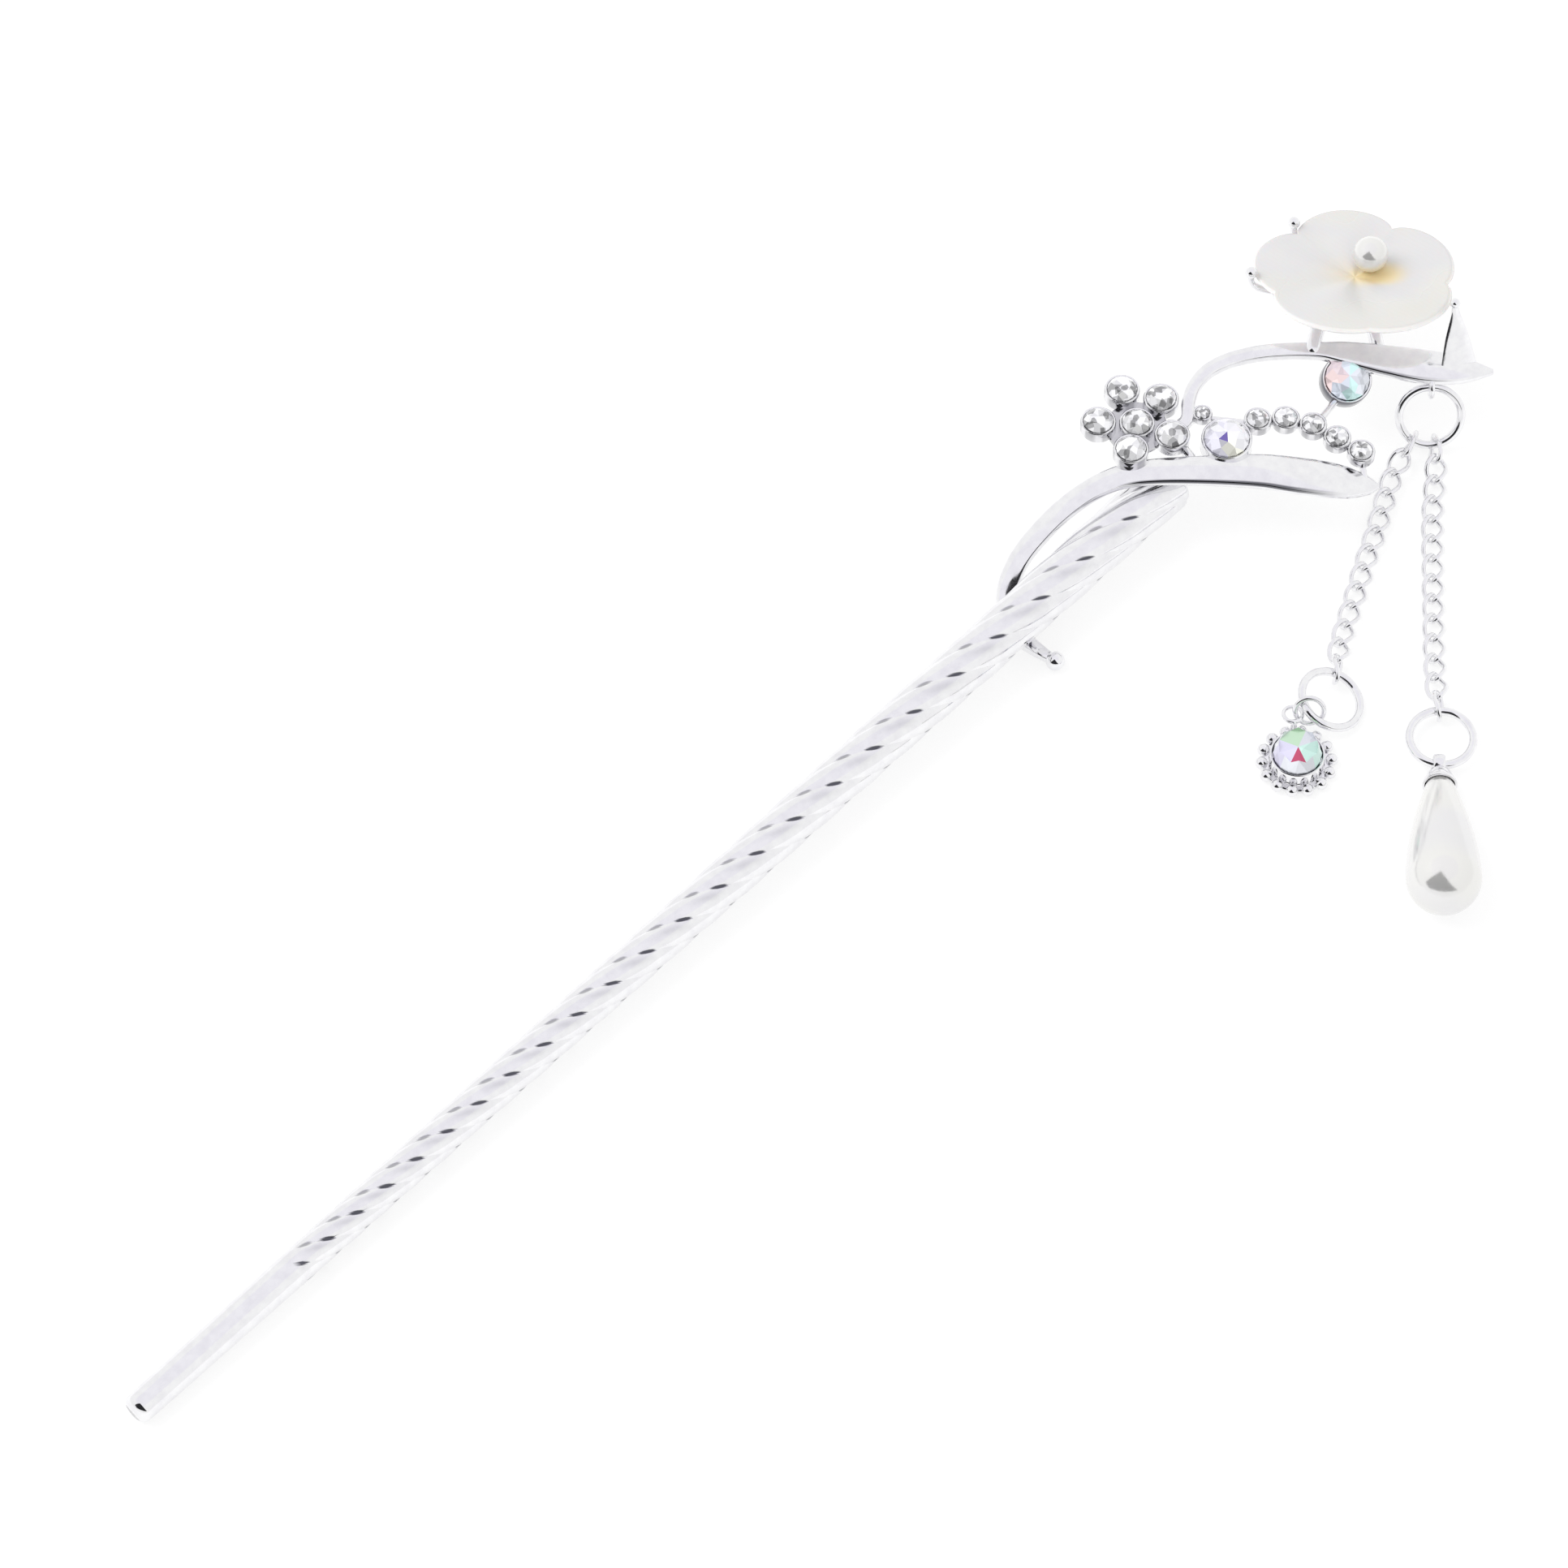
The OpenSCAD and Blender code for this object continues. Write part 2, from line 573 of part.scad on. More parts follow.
// Each row: x, y on the way from the top ring to the lower ring
CHAIN_LEFT = [
    [22.0, -13.6], [19.6, -14.0], [16.9, -15.3], [14.4, -16.6], [11.7, -18.1],
    [8.8, -19.4], [6.0, -20.9], [3.2, -22.3], [0.3, -23.8], [-2.0, -25.1]
];
CHAIN_RIGHT = [
    [22.6, -17.0], [20.6, -18.5], [17.4, -21.0], [12.9, -25.0], [8.4, -29.0],
    [3.9, -33.1], [1.8, -35.1]
];
left_hold = -122;
right_hold = -80;
left_end_hold = 78;
right_end_hold = 92;
left_end_roll = 110;
// Ways along the left ring's own plane, which leans back and then sideways
function left_side_way() = turned(side_way(), [0, 0, -1], ring_left_side);
function left_up_way() = turned([0, 0, 1], side_way(), ring_left_side);
function left_back_way() = turned(back_way(), left_up_way(), ring_left_lean);
function ring_left_point(angle) = RING_LEFT_PLACE
    + ring_radius * (cos(angle) * left_side_way() + sin(angle) * left_back_way());
function ring_right_point(angle) = RING_RIGHT_PLACE
    + ring_radius * (cos(angle) * side_way() + sin(angle) * back_way());
module chain_left() {
    seat_on_origin() color(silver)
        chain(ring_top_point(left_hold), CHAIN_LEFT, ring_left_point(left_end_hold), left_end_roll);
}
module chain_right() {
    seat_on_origin() color(silver)
        chain(ring_top_point(right_hold), CHAIN_RIGHT, ring_right_point(right_end_hold), hook_roll);
}

// Round pendant, whose bail stands above its beads
PENDANT_PLACE = [-14.62, -30.66, 0];
BAIL_PLACE = [-11.31, -27.10, 1.94];
bail_lean = -6.2;
pendant_rim_d = 7.2;
bead_d = 1.3;
bail_d = 2.4;
bail_wire = 0.45;
pendant_back = 0.6;
bezel_top = 2.2;
stone_girdle_z = bezel_top - 0.05;
flat_pavilion = 0.19;
// Round rod between two points
module rod(a, b, d) {
    way = b - a;
    translate(a) rotate([0, acos(way[2] / norm(way)), atan2(way[1], way[0])])
        cylinder(h = norm(way), d = d, $fn = 24);
}
function bail_way() = unit([BAIL_PLACE[0] - PENDANT_PLACE[0], BAIL_PLACE[1] - PENDANT_PLACE[1], 0]);
module pendant_frame() {
    bail_turn = atan2(bail_way()[1], bail_way()[0]);
    seat_on_origin() color(silver) difference() {
        union() {
            translate(PENDANT_PLACE) {
                cylinder(h = pendant_back, d = pendant_rim_d - 0.2, $fn = 64);
                cylinder(h = bezel_top, r = cup_r(pendant_stone_d), $fn = 64);
                for (k = [0:bead_count - 1])
                    rotate(bail_turn + 360 / bead_count * (k + 0.5))
                        translate([pendant_rim_d / 2, 0, bead_d / 2 + 0.05]) sphere(d = bead_d, $fn = 24);
            }
            rod(PENDANT_PLACE + (pendant_rim_d / 2 - 0.5) * bail_way() + [0, 0, pendant_back - 0.2],
                BAIL_PLACE - (bail_d - bail_wire) / 2 * bail_way(), 0.7);
            translate(BAIL_PLACE) rotate([0, 0, -side_turn]) rotate([bail_lean, 0, 0])
                torus(bail_wire, bail_d);
        }
        translate(PENDANT_PLACE + [0, 0, stone_girdle_z]) cup_hollow(pendant_stone_d, 64, flat_pavilion);
    }
}
module pendant_stone() {
    seat_on_origin() color(rainbow) translate(PENDANT_PLACE)
        translate([0, 0, stone_girdle_z]) cut_stone(pendant_stone_d, flat_pavilion);
}

// Small ring that stands between the left ring and the pendant's bail
LINK_RING_PLACE = [-10.06, -28.20, 2.40];
link_ring_wire = 0.55;
link_ring_d = 3.5;
link_ring_lean = 63.6;
link_ring_side = -4.4;
module pendant_link() {
    seat_on_origin() color(silver) translate(LINK_RING_PLACE)
        rotate([0, 0, -side_turn]) rotate([link_ring_lean, link_ring_side, 0])
            torus(link_ring_wire, link_ring_d);
}

// Pearl drop in its cap, which lies on its side with the cap just over the table
drop_r = drop_d / 2;
drop_neck_r = 1.0;
drop_reach = drop_length - drop_r;
cap_wall = 0.22;
cap_length = 1.3;
cap_rim_r = 1.78;
cap_loop_d = 2.2;
cap_loop_wall = 0.4;
cap_loop_width = 1.2;
drop_lean = 11.5;
drop_turn = 42;
cap_top = drop_reach + 0.8;
function loop_at() = cap_top - 0.2 + cap_loop_d / 2;
// The cap's loop goes round the near side of the right ring
function drop_place() = ring_right_point(-97)
    - (loop_at() - 0.1) * cos(drop_lean) * [cos(drop_turn), sin(drop_turn), 0];
// Outline of the drop from its round end to its neck: half a ball, then a side that narrows faster and faster
ball_steps = 11;
neck_steps = 9;
function drop_outline() = concat(
    [for (i = [0:ball_steps])
        let (a = mix(-90, 0, i / ball_steps))
        [drop_r * cos(a), drop_r * sin(a)]],
    [for (i = [1:neck_steps])
        let (t = i / neck_steps)
        [mix(drop_r, drop_neck_r, pow(t, 1.7)), drop_reach * t]]
);
// Height of the ball's middle at which the lowest point of the leaning drop is on the table
drop_z = max([for (p = drop_outline()) p[1] * sin(drop_lean) + p[0] * cos(drop_lean)]);
module at_drop() {
    translate([drop_place()[0], drop_place()[1], drop_z])
        rotate([0, 0, drop_turn]) rotate([0, 90 + drop_lean, 0])
            children();
}
module pearl_drop() {
    seat_on_origin() at_drop() color(pearl_white) rotate_extrude($fn = 64)
        polygon(concat(drop_outline(), [[0, drop_reach]]));
}
module drop_cap() {
    seat_on_origin() at_drop() color(silver) {
        rotate_extrude($fn = 48) polygon([
            [0, drop_reach + gap],
            [drop_neck_r + gap, drop_reach + gap],
            [cap_rim_r - cap_wall, drop_reach - cap_length],
            [cap_rim_r, drop_reach - cap_length],
            [drop_neck_r + gap + cap_wall, drop_reach + 0.2],
            [0.7, cap_top],
            [0, cap_top]
        ]);
        translate([0, 0, loop_at()]) rotate([90, 0, 0]) rotate_extrude($fn = 48)
            translate([cap_loop_d / 2 - cap_loop_wall, -cap_loop_width / 2])
                square([cap_loop_wall, cap_loop_width]);
    }
}

shank();
spray();
shell_flower();
flower_pearl();
cluster_stone(0);  // cluster_stone_1
cluster_stone(1);  // cluster_stone_2
cluster_stone(2);  // cluster_stone_3
cluster_stone(3);  // cluster_stone_4
cluster_stone(4);  // cluster_stone_5
cluster_stone(5);  // cluster_stone_6
upper_leaf_stone();
lower_leaf_stone();
row_stone(0);  // row_stone_1
row_stone(1);  // row_stone_2
row_stone(2);  // row_stone_3
row_stone(3);  // row_stone_4
row_stone(4);  // row_stone_5
row_stone(5);  // row_stone_6
ring_top();
ring_left();
ring_right();
chain_left();
chain_right();
pendant_link();
pendant_frame();
pendant_stone();
drop_cap();
pearl_drop();
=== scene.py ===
"""Looks of a hair stick with a twisted shank, cut stones, a shell flower and two chain drops.

Tables and sizes are millimetres, measured from the upper end of the shank: x along the shank,
away from its tip, y to the side away from the drops, z up from the table. Meshes are written in
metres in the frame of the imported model.
"""

import logging
import math
from dataclasses import dataclass, field, replace
from enum import Enum

import bmesh
import bpy
import numpy as np
from mathutils import Matrix


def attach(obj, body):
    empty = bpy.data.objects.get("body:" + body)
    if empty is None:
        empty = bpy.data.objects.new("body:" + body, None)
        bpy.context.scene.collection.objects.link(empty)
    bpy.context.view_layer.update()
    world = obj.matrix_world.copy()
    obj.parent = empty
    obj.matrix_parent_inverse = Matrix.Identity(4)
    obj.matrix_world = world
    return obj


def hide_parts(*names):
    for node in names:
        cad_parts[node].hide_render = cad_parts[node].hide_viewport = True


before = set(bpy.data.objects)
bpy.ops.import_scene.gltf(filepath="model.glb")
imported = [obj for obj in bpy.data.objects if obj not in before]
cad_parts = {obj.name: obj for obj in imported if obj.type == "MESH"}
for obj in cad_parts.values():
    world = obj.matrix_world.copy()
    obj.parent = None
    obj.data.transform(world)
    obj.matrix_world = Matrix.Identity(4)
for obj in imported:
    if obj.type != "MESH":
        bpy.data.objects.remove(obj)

log = logging.getLogger("hair_stick")
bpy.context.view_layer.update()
MM = 0.001
# Place of the shank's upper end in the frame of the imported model
HEAD = np.array([53.745, 21.93, 0.0])
# Angle in plan between the shank and the side that the flower leans along
SIDE_TURN = 46.0
# Faces that meet at a sharper angle than this show an edge
CREASE_ANGLE = 42.0
Colour = tuple[float, float, float]
Row = tuple[float, ...]
Point = tuple[float, float, float]
PENDANT_AT: Point = (-14.62, -30.66, 0.0)
PENDANT_STONE_D = 5.0


# Vectors and curves


def unit(v: np.ndarray) -> np.ndarray:
    """Vectors of length one along the last axis."""
    return v / np.linalg.norm(v, axis=-1, keepdims=True)


def smooth(t: np.ndarray) -> np.ndarray:
    """Blend 3t^2 - 2t^3, held at 0 and 1 outside that stretch."""
    t = np.clip(t, 0.0, 1.0)
    return t * t * (3 - 2 * t)


def polar(r: np.ndarray | float, angle: np.ndarray | float, *rest: object) -> np.ndarray:
    """Points at a radius and an angle in radians, with any further coordinates after them."""
    return np.stack(np.broadcast_arrays(r * np.cos(angle), r * np.sin(angle), *rest), axis=-1)


def full_turn(count: int) -> np.ndarray:
    """Even angles once round, in radians."""
    return np.linspace(0, 2 * np.pi, count, endpoint=False)


def turning(degrees: float, first: int, second: int) -> np.ndarray:
    """Matrix that turns the first of two axes towards the second."""
    c, s = np.cos(np.radians(degrees)), np.sin(np.radians(degrees))
    matrix = np.eye(3)
    matrix[[first, second], [first, second]] = c
    matrix[second, first], matrix[first, second] = s, -s
    return matrix


def toward(azimuth: np.ndarray | float, elevation: np.ndarray | float) -> np.ndarray:
    """Directions of an azimuth and an elevation in radians."""
    flat = np.cos(elevation)
    return np.stack([np.sin(azimuth) * flat, -np.cos(azimuth) * flat, np.sin(elevation)], axis=-1)


def columns(*kinds: tuple[np.ndarray, ...]) -> np.ndarray:
    """Faces of one or more kinds, each kind given as the columns of its corners."""
    return np.vstack([np.stack(kind, axis=1) for kind in kinds])


def curve_rows(rows: list[Row] | np.ndarray, steps: int) -> np.ndarray:
    """Smooth curve through the rows of a table.

    Between two rows it is the cubic that passes both with the slope of their outer neighbours,
    half the difference of the rows before and after.

    Args:
        rows: the table, one row for each station.
        steps: number of steps between two rows.

    Returns:
        The stations of the curve, with as many columns as the table.
    """
    table = np.asarray(rows, float)
    i = np.repeat(np.arange(len(table) - 1), steps)
    t = np.tile(np.arange(steps) / steps, len(table) - 1)[:, None]
    p0, p1, p2 = table[np.maximum(i - 1, 0)], table[i], table[i + 1]
    p3 = table[np.minimum(i + 2, len(table) - 1)]
    square, cube = 2 * p0 - 5 * p1 + 4 * p2 - p3, 3 * p1 - p0 - 3 * p2 + p3
    curve = 0.5 * (2 * p1 + (p2 - p0) * t + square * t**2 + cube * t**3)
    return np.vstack([curve, table[-1:]])


def headings(path: np.ndarray) -> np.ndarray:
    """Direction of a path at each station, from the station before to the one after."""
    return unit(np.vstack([path[1:2] - path[:1], path[2:] - path[:-2], path[-1:] - path[-2:-1]]))


def cut_corners(outline: np.ndarray, rounds: int) -> np.ndarray:
    """Closed outline with its corners cut at a quarter and three quarters of each side."""
    for _ in range(rounds):
        after = np.roll(outline, -1, axis=0)
        pair = [0.75 * outline + 0.25 * after, 0.25 * outline + 0.75 * after]
        outline = np.stack(pair, axis=1).reshape(-1, outline.shape[1])
    return outline


@dataclass(frozen=True)
class Place:
    """Where a piece sits: leaned about x, then about y, turned about z, then moved."""

    at: Point
    turn: float = 0.0
    side: float = 0.0
    lean: float = 0.0

    def matrix(self) -> np.ndarray:
        """Turning matrix, about z times about y times about x."""
        return turning(self.turn, 0, 1) @ turning(self.side, 2, 0) @ turning(self.lean, 1, 2)

    def put(self, points: np.ndarray) -> np.ndarray:
        """Points of the piece's own frame, turned and moved to their place."""
        return points @ self.matrix().T + np.array(self.at)


FLOWER_PLACE = Place((29.8, 1.65, 10.8), -SIDE_TURN, 0.0, -17.0)
TOP_RING_PLACE = Place((25.2, -13.5, 3.86), -SIDE_TURN, 0.0, 57.0)


# Skins


@dataclass
class Skin:
    """Surface of quads and triangles, with named values for its points and facet colours."""

    points: np.ndarray
    quads: np.ndarray = field(default_factory=lambda: np.zeros((0, 4), int))
    tris: np.ndarray = field(default_factory=lambda: np.zeros((0, 3), int))
    values: dict[str, np.ndarray] = field(default_factory=dict)
    facet_colours: np.ndarray | None = None
    flat: np.ndarray | None = None

    @classmethod
    def grid(
        cls, grid: np.ndarray, loop: bool = False, ends: tuple[np.ndarray, ...] | None = None
    ) -> "Skin":
        """Skin over rings of points, each ring closed.

        Args:
            grid: points, rings by points in a ring by 3.
            loop: whether the last ring joins the first, as in a torus.
            ends: middle points of the two ends, or None for the middle of each end ring.

        Returns:
            The closed skin.
        """
        rings, count = grid.shape[:2]
        ring = np.arange(rings if loop else rings - 1)[:, None] * count
        after = (ring + count) % (rings * count)
        j, k = np.arange(count)[None, :], (np.arange(count)[None, :] + 1) % count
        quads = np.stack([ring + j, ring + k, after + k, after + j], axis=-1).reshape(-1, 4)
        points = grid.reshape(-1, 3)
        if loop:
            return cls(points, quads)
        middles = ends or (grid[0].mean(0), grid[-1].mean(0))
        first, last = rings * count, (rings - 1) * count
        j, k = j[0], k[0]
        start, end = np.full(count, first), np.full(count, first + 1)
        tris = columns((k, j, start), (last + j, last + k, end))
        return cls(np.vstack([points, *[np.reshape(m, (1, 3)) for m in middles]]), quads, tris)

    @classmethod
    def lathe(cls, profile: np.ndarray, count: int) -> "Skin":
        """Skin turned about z.

        Args:
            profile: rows of radius and height, from end to end, both ends on the axis.
            count: number of points round the axis.

        Returns:
            The closed skin.
        """
        profile = np.asarray(profile, float)
        grid = polar(profile[1:-1, :1], full_turn(count), profile[1:-1, 1:])
        poles = tuple(np.array([0.0, 0.0, end]) for end in profile[[0, -1], 1])
        return cls.grid(grid, ends=poles)

    @classmethod
    def torus(cls, section: np.ndarray, count: int) -> "Skin":
        """Closed outline of radius and height carried once round the z axis."""
        return cls.grid(polar(section[:, 0], full_turn(count)[:, None], section[:, 1]), loop=True)

    @classmethod
    def ring(cls, wire: float, outer_d: float, count: int = 96, sides: int = 20) -> "Skin":
        """Ring of round wire: a circle of the wire's diameter carried round the z axis."""
        return cls.torus(polar(wire / 2, full_turn(sides)) + [(outer_d - wire) / 2, 0], count)

    @classmethod
    def ball(cls, d: float, count: int = 24) -> "Skin":
        """Ball turned from a half circle."""
        return cls.lathe(polar(d / 2, np.linspace(-np.pi / 2, np.pi / 2, count // 2 + 1)), count)

    @classmethod
    def sweep(cls, rows: list[Row] | np.ndarray, section: np.ndarray, steps: int) -> "Skin":
        """Section carried along a smooth path, level across, scaled to each station.

        Args:
            rows: table of x, y, z, width and thickness.
            section: closed outline in half widths and half thicknesses.
            steps: steps between two rows.

        Returns:
            The closed skin.
        """
        path = curve_rows(rows, steps)
        along = headings(path[:, :3])
        side = unit(np.cross([0.0, 0.0, 1.0], along))
        up = np.cross(along, side)
        across, high = section[:, 0][None, :, None], section[:, 1][None, :, None]
        sideways = side[:, None, :] * across * path[:, None, 3:4] / 2
        upward = up[:, None, :] * high * path[:, None, 4:5] / 2
        return cls.grid(path[:, None, :3] + sideways + upward)

    @classmethod
    def rod(cls, a: Point, b: Point, d: float, count: int = 16) -> "Skin":
        """Round rod from a to b with ball ends: the profile of a capsule turned about a to b."""
        start, finish = np.array(a, float), np.array(b, float)
        length = np.linalg.norm(finish - start)
        near = polar(d / 2, np.linspace(-np.pi / 2, 0, 6))
        far = [0, length] + near[::-1] * [1, -1]
        way = (finish - start) / length
        tilt = math.degrees(math.acos(max(-1.0, min(1.0, way[2]))))
        turn = math.degrees(math.atan2(way[1], way[0]))
        return cls.lathe(np.vstack([near, far]), count).placed(Place(tuple(start), turn, tilt))

    @classmethod
    def join(cls, skins: list["Skin"]) -> "Skin":
        """All the skins as one, with their values kept and zero where a skin has none."""
        starts = np.cumsum([0] + [len(s.points) for s in skins])
        names = sorted({name for s in skins for name in s.values})
        values = {
            name: np.concatenate([s.values.get(name, np.zeros(len(s.points))) for s in skins])
            for name in names
        }
        quads, tris = (
            np.vstack([getattr(s, kind) + k for s, k in zip(skins, starts)])
            for kind in ("quads", "tris")
        )
        return cls(np.vstack([s.points for s in skins]), quads, tris, values)

    def placed(self, place: Place) -> "Skin":
        """The same skin at a place."""
        return replace(self, points=place.put(self.points))


class Shading(Enum):
    """How the faces of a piece meet."""

    SMOOTH = "smooth"
    CREASED = "creased"
    FACETED = "faceted"


def add_object(name: str, data: bpy.types.ID) -> bpy.types.Object:
    """A new object of the scene."""
    made = bpy.data.objects.new(name, data)
    bpy.context.scene.collection.objects.link(made)
    return made


def add_sheet(name: str, corners: np.ndarray, material: bpy.types.Material) -> bpy.types.Object:
    """A flat face with its corners in metres."""
    mesh = bpy.data.meshes.new(name)
    mesh.from_pydata(corners.tolist(), [], [list(range(len(corners)))])
    mesh.materials.append(material)
    return add_object(name, mesh)


def aim(holder: bpy.types.Object, at: np.ndarray, back: np.ndarray) -> None:
    """Puts a level camera or lamp at a place in metres, with its back turned to a direction."""
    right = unit(np.cross([0.0, 0.0, 1.0], back))
    axes = np.stack([right, np.cross(back, right), back, at], axis=1)
    holder.matrix_world = Matrix([*axes.tolist(), [0, 0, 0, 1]])


def make_piece(
    name: str, skin: Skin, finish: "Finish", nodes: list[str], shading: Shading = Shading.CREASED
) -> None:
    """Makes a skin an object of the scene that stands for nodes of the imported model.

    Args:
        name: name of the piece.
        skin: its surface, in millimetres from the shank's upper end.
        finish: the finish that it is dressed in.
        nodes: the nodes that it stands for.
        shading: how its faces meet.
    """
    mesh = bpy.data.meshes.new(name)
    points = (skin.points + HEAD) * MM
    mesh.from_pydata(points.tolist(), [], skin.quads.tolist() + skin.tris.tolist())
    if skin.facet_colours is not None:
        paint = mesh.color_attributes.new("facet", "FLOAT_COLOR", "CORNER")
        totals = np.zeros(len(mesh.polygons), np.int32)
        mesh.polygons.foreach_get("loop_total", totals)
        paint.data.foreach_set("color", np.repeat(skin.facet_colours, totals, axis=0).ravel())
    if skin.flat is not None:
        corners = np.zeros(len(mesh.loops), np.int32)
        mesh.loops.foreach_get("vertex_index", corners)
        layer = mesh.uv_layers.new(name="plan")
        layer.data.foreach_set("uv", skin.flat[corners].astype(np.float32).ravel())
    for key, value in skin.values.items():
        attribute = mesh.attributes.new(key, "FLOAT", "POINT")
        attribute.data.foreach_set("value", value.astype(np.float32))
    work = bmesh.new()
    work.from_mesh(mesh)
    bmesh.ops.recalc_face_normals(work, faces=work.faces)
    work.to_mesh(mesh)
    work.free()
    if shading is Shading.FACETED:
        mesh.shade_flat()
    else:
        mesh.shade_smooth()
        if shading is Shading.CREASED:
            mesh.set_sharp_from_angle(angle=math.radians(CREASE_ANGLE))
    piece = add_object(name, mesh)
    mesh.materials.append(finish.material())
    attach(piece, "root")
    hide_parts(*nodes)
    log.info("%s: %d points, %d faces", name, len(mesh.vertices), len(mesh.polygons))


# Finishes


class NodeBench:
    """Node tree of one material, with a principled shader to wire up."""

    def __init__(self, name: str) -> None:
        """Makes the material with an empty tree."""
        self.material = bpy.data.materials.new(name)
        self.material.use_nodes = True
        self.tree = self.material.node_tree
        self.tree.nodes.clear()
        self.shader = self.add("ShaderNodeBsdfPrincipled")
        self.output = self.add("ShaderNodeOutputMaterial")
        self.wire(self.shader.outputs["BSDF"], self.output.inputs["Surface"])
        self.coordinates = self.add("ShaderNodeTexCoord")

    def add(self, kind: str, **inputs: object) -> bpy.types.Node:
        """Adds a node and sets its inputs by name, with spaces written as underscores."""
        node = self.tree.nodes.new(kind)
        for key, value in inputs.items():
            node.inputs[key.replace("_", " ")].default_value = value
        return node

    def wire(self, source: bpy.types.NodeSocket, target: bpy.types.NodeSocket) -> None:
        """Links an output to an input."""
        self.tree.links.new(source, target)

    def feed(self, name: str, source: bpy.types.NodeSocket) -> None:
        """Links an output to one of the shader's inputs."""
        self.wire(source, self.shader.inputs[name])

    def set(self, **inputs: object) -> None:
        """Sets the shader's inputs by name, with spaces written as underscores."""
        for key, value in inputs.items():
            self.shader.inputs[key.replace("_", " ")].default_value = value

    def noise(self, per_mm: float, detail: float = 3.0, rough: float = 0.55) -> bpy.types.Node:
        """Noise on the object's own coordinates with a number of grains for each millimetre."""
        node = self.add("ShaderNodeTexNoise", Scale=per_mm / MM, Detail=detail, Roughness=rough)
        self.wire(self.coordinates.outputs["Object"], node.inputs["Vector"])
        return node

    def ramp(
        self, source: bpy.types.NodeSocket, stops: list[tuple[float, Colour]]
    ) -> bpy.types.Node:
        """Colour ramp over a value."""
        node = self.add("ShaderNodeValToRGB")
        elements = node.color_ramp.elements
        while len(elements) < len(stops):
            elements.new(0.5)
        for element, (at, colour) in zip(elements, stops):
            element.position = at
            element.color = (*colour, 1.0)
        self.wire(source, node.inputs["Fac"])
        return node

    def spread(
        self, source: bpy.types.NodeSocket, low: float, high: float, start: float, finish: float
    ) -> bpy.types.NodeSocket:
        """Maps a value's stretch from start to finish onto low to high."""
        span = dict(From_Min=start, From_Max=finish, To_Min=low, To_Max=high)
        node = self.add("ShaderNodeMapRange", **span)
        self.wire(source, node.inputs["Value"])
        return node.outputs["Result"]

    def value(self, name: str, output: str = "Fac") -> bpy.types.NodeSocket:
        """Factor or colour of a named attribute of the piece."""
        node = self.add("ShaderNodeAttribute")
        node.attribute_name = name
        return node.outputs[output]

    def blend(
        self,
        factor: bpy.types.NodeSocket | float,
        first: bpy.types.NodeSocket | Colour,
        second: bpy.types.NodeSocket | Colour,
        mode: str = "MIX",
    ) -> bpy.types.NodeSocket:
        """Colour blend of two colours or outputs by a factor."""
        node = self.add("ShaderNodeMix")
        node.data_type = "RGBA"
        node.blend_type = mode
        for index, source in ((0, factor), (6, first), (7, second)):
            if isinstance(source, float):
                node.inputs[index].default_value = source
            elif isinstance(source, tuple):
                node.inputs[index].default_value = (*source, 1.0)
            else:
                self.wire(source, node.inputs[index])
        return node.outputs[2]

    def bump(self, source: bpy.types.NodeSocket, height_mm: float, strength: float) -> None:
        """Bump from a value, its full height in millimetres, into the shader's normal."""
        node = self.add("ShaderNodeBump", Distance=height_mm * MM, Strength=strength)
        self.wire(source, node.inputs["Height"])
        self.feed("Normal", node.outputs["Normal"])


@dataclass(frozen=True)
class Finish:
    """A surface finish. Each kind builds its own material once."""

    name: str
    # The record's material slot
    slot: str

    def material(self) -> bpy.types.Material:
        """The finish's material, built at its first use."""
        found = bpy.data.materials.get(self.name)
        return found if found is not None else self.build(NodeBench(self.name))

    def build(self, bench: NodeBench) -> bpy.types.Material:
        """Wires the material."""
        raise NotImplementedError


@dataclass(frozen=True)
class SilverPlate(Finish):
    """Bright plating with a faint haze, small polishing waves and a dark tone for painted shade
    and painted dark reflections.
    """

    name: str = "silver_plate"
    slot: str = "silver_metal"
    bright: Colour = (0.89, 0.89, 0.90)
    hazy: Colour = (0.82, 0.815, 0.84)
    # Colour that painted shade and painted dark reflections turn the plating towards
    recess: Colour = (0.10, 0.10, 0.12)
    roughness: float = 0.07
    haze: float = 0.14
    grain_per_mm: float = 0.9
    wave_mm: float = 0.012

    def build(self, bench: NodeBench) -> bpy.types.Material:
        """Noise picks between the bright and hazy tones and their roughness."""
        cloud = bench.noise(self.grain_per_mm, 4.0)
        tone = bench.ramp(cloud.outputs["Fac"], [(0.35, self.bright), (0.72, self.hazy)])
        # Painted shade: each point's marked share turns the tone towards the dark colour
        colour = bench.blend(bench.value("recess"), tone.outputs["Color"], self.recess)
        rough = bench.spread(cloud.outputs["Fac"], self.roughness, self.haze, 0.35, 0.75)
        bench.feed("Base Color", colour)
        bench.feed("Roughness", rough)
        bench.set(Metallic=1.0)
        wave = bench.noise(self.grain_per_mm * 0.8, 2.0)
        bench.bump(wave.outputs["Fac"], self.wave_mm, 0.35)
        return bench.material


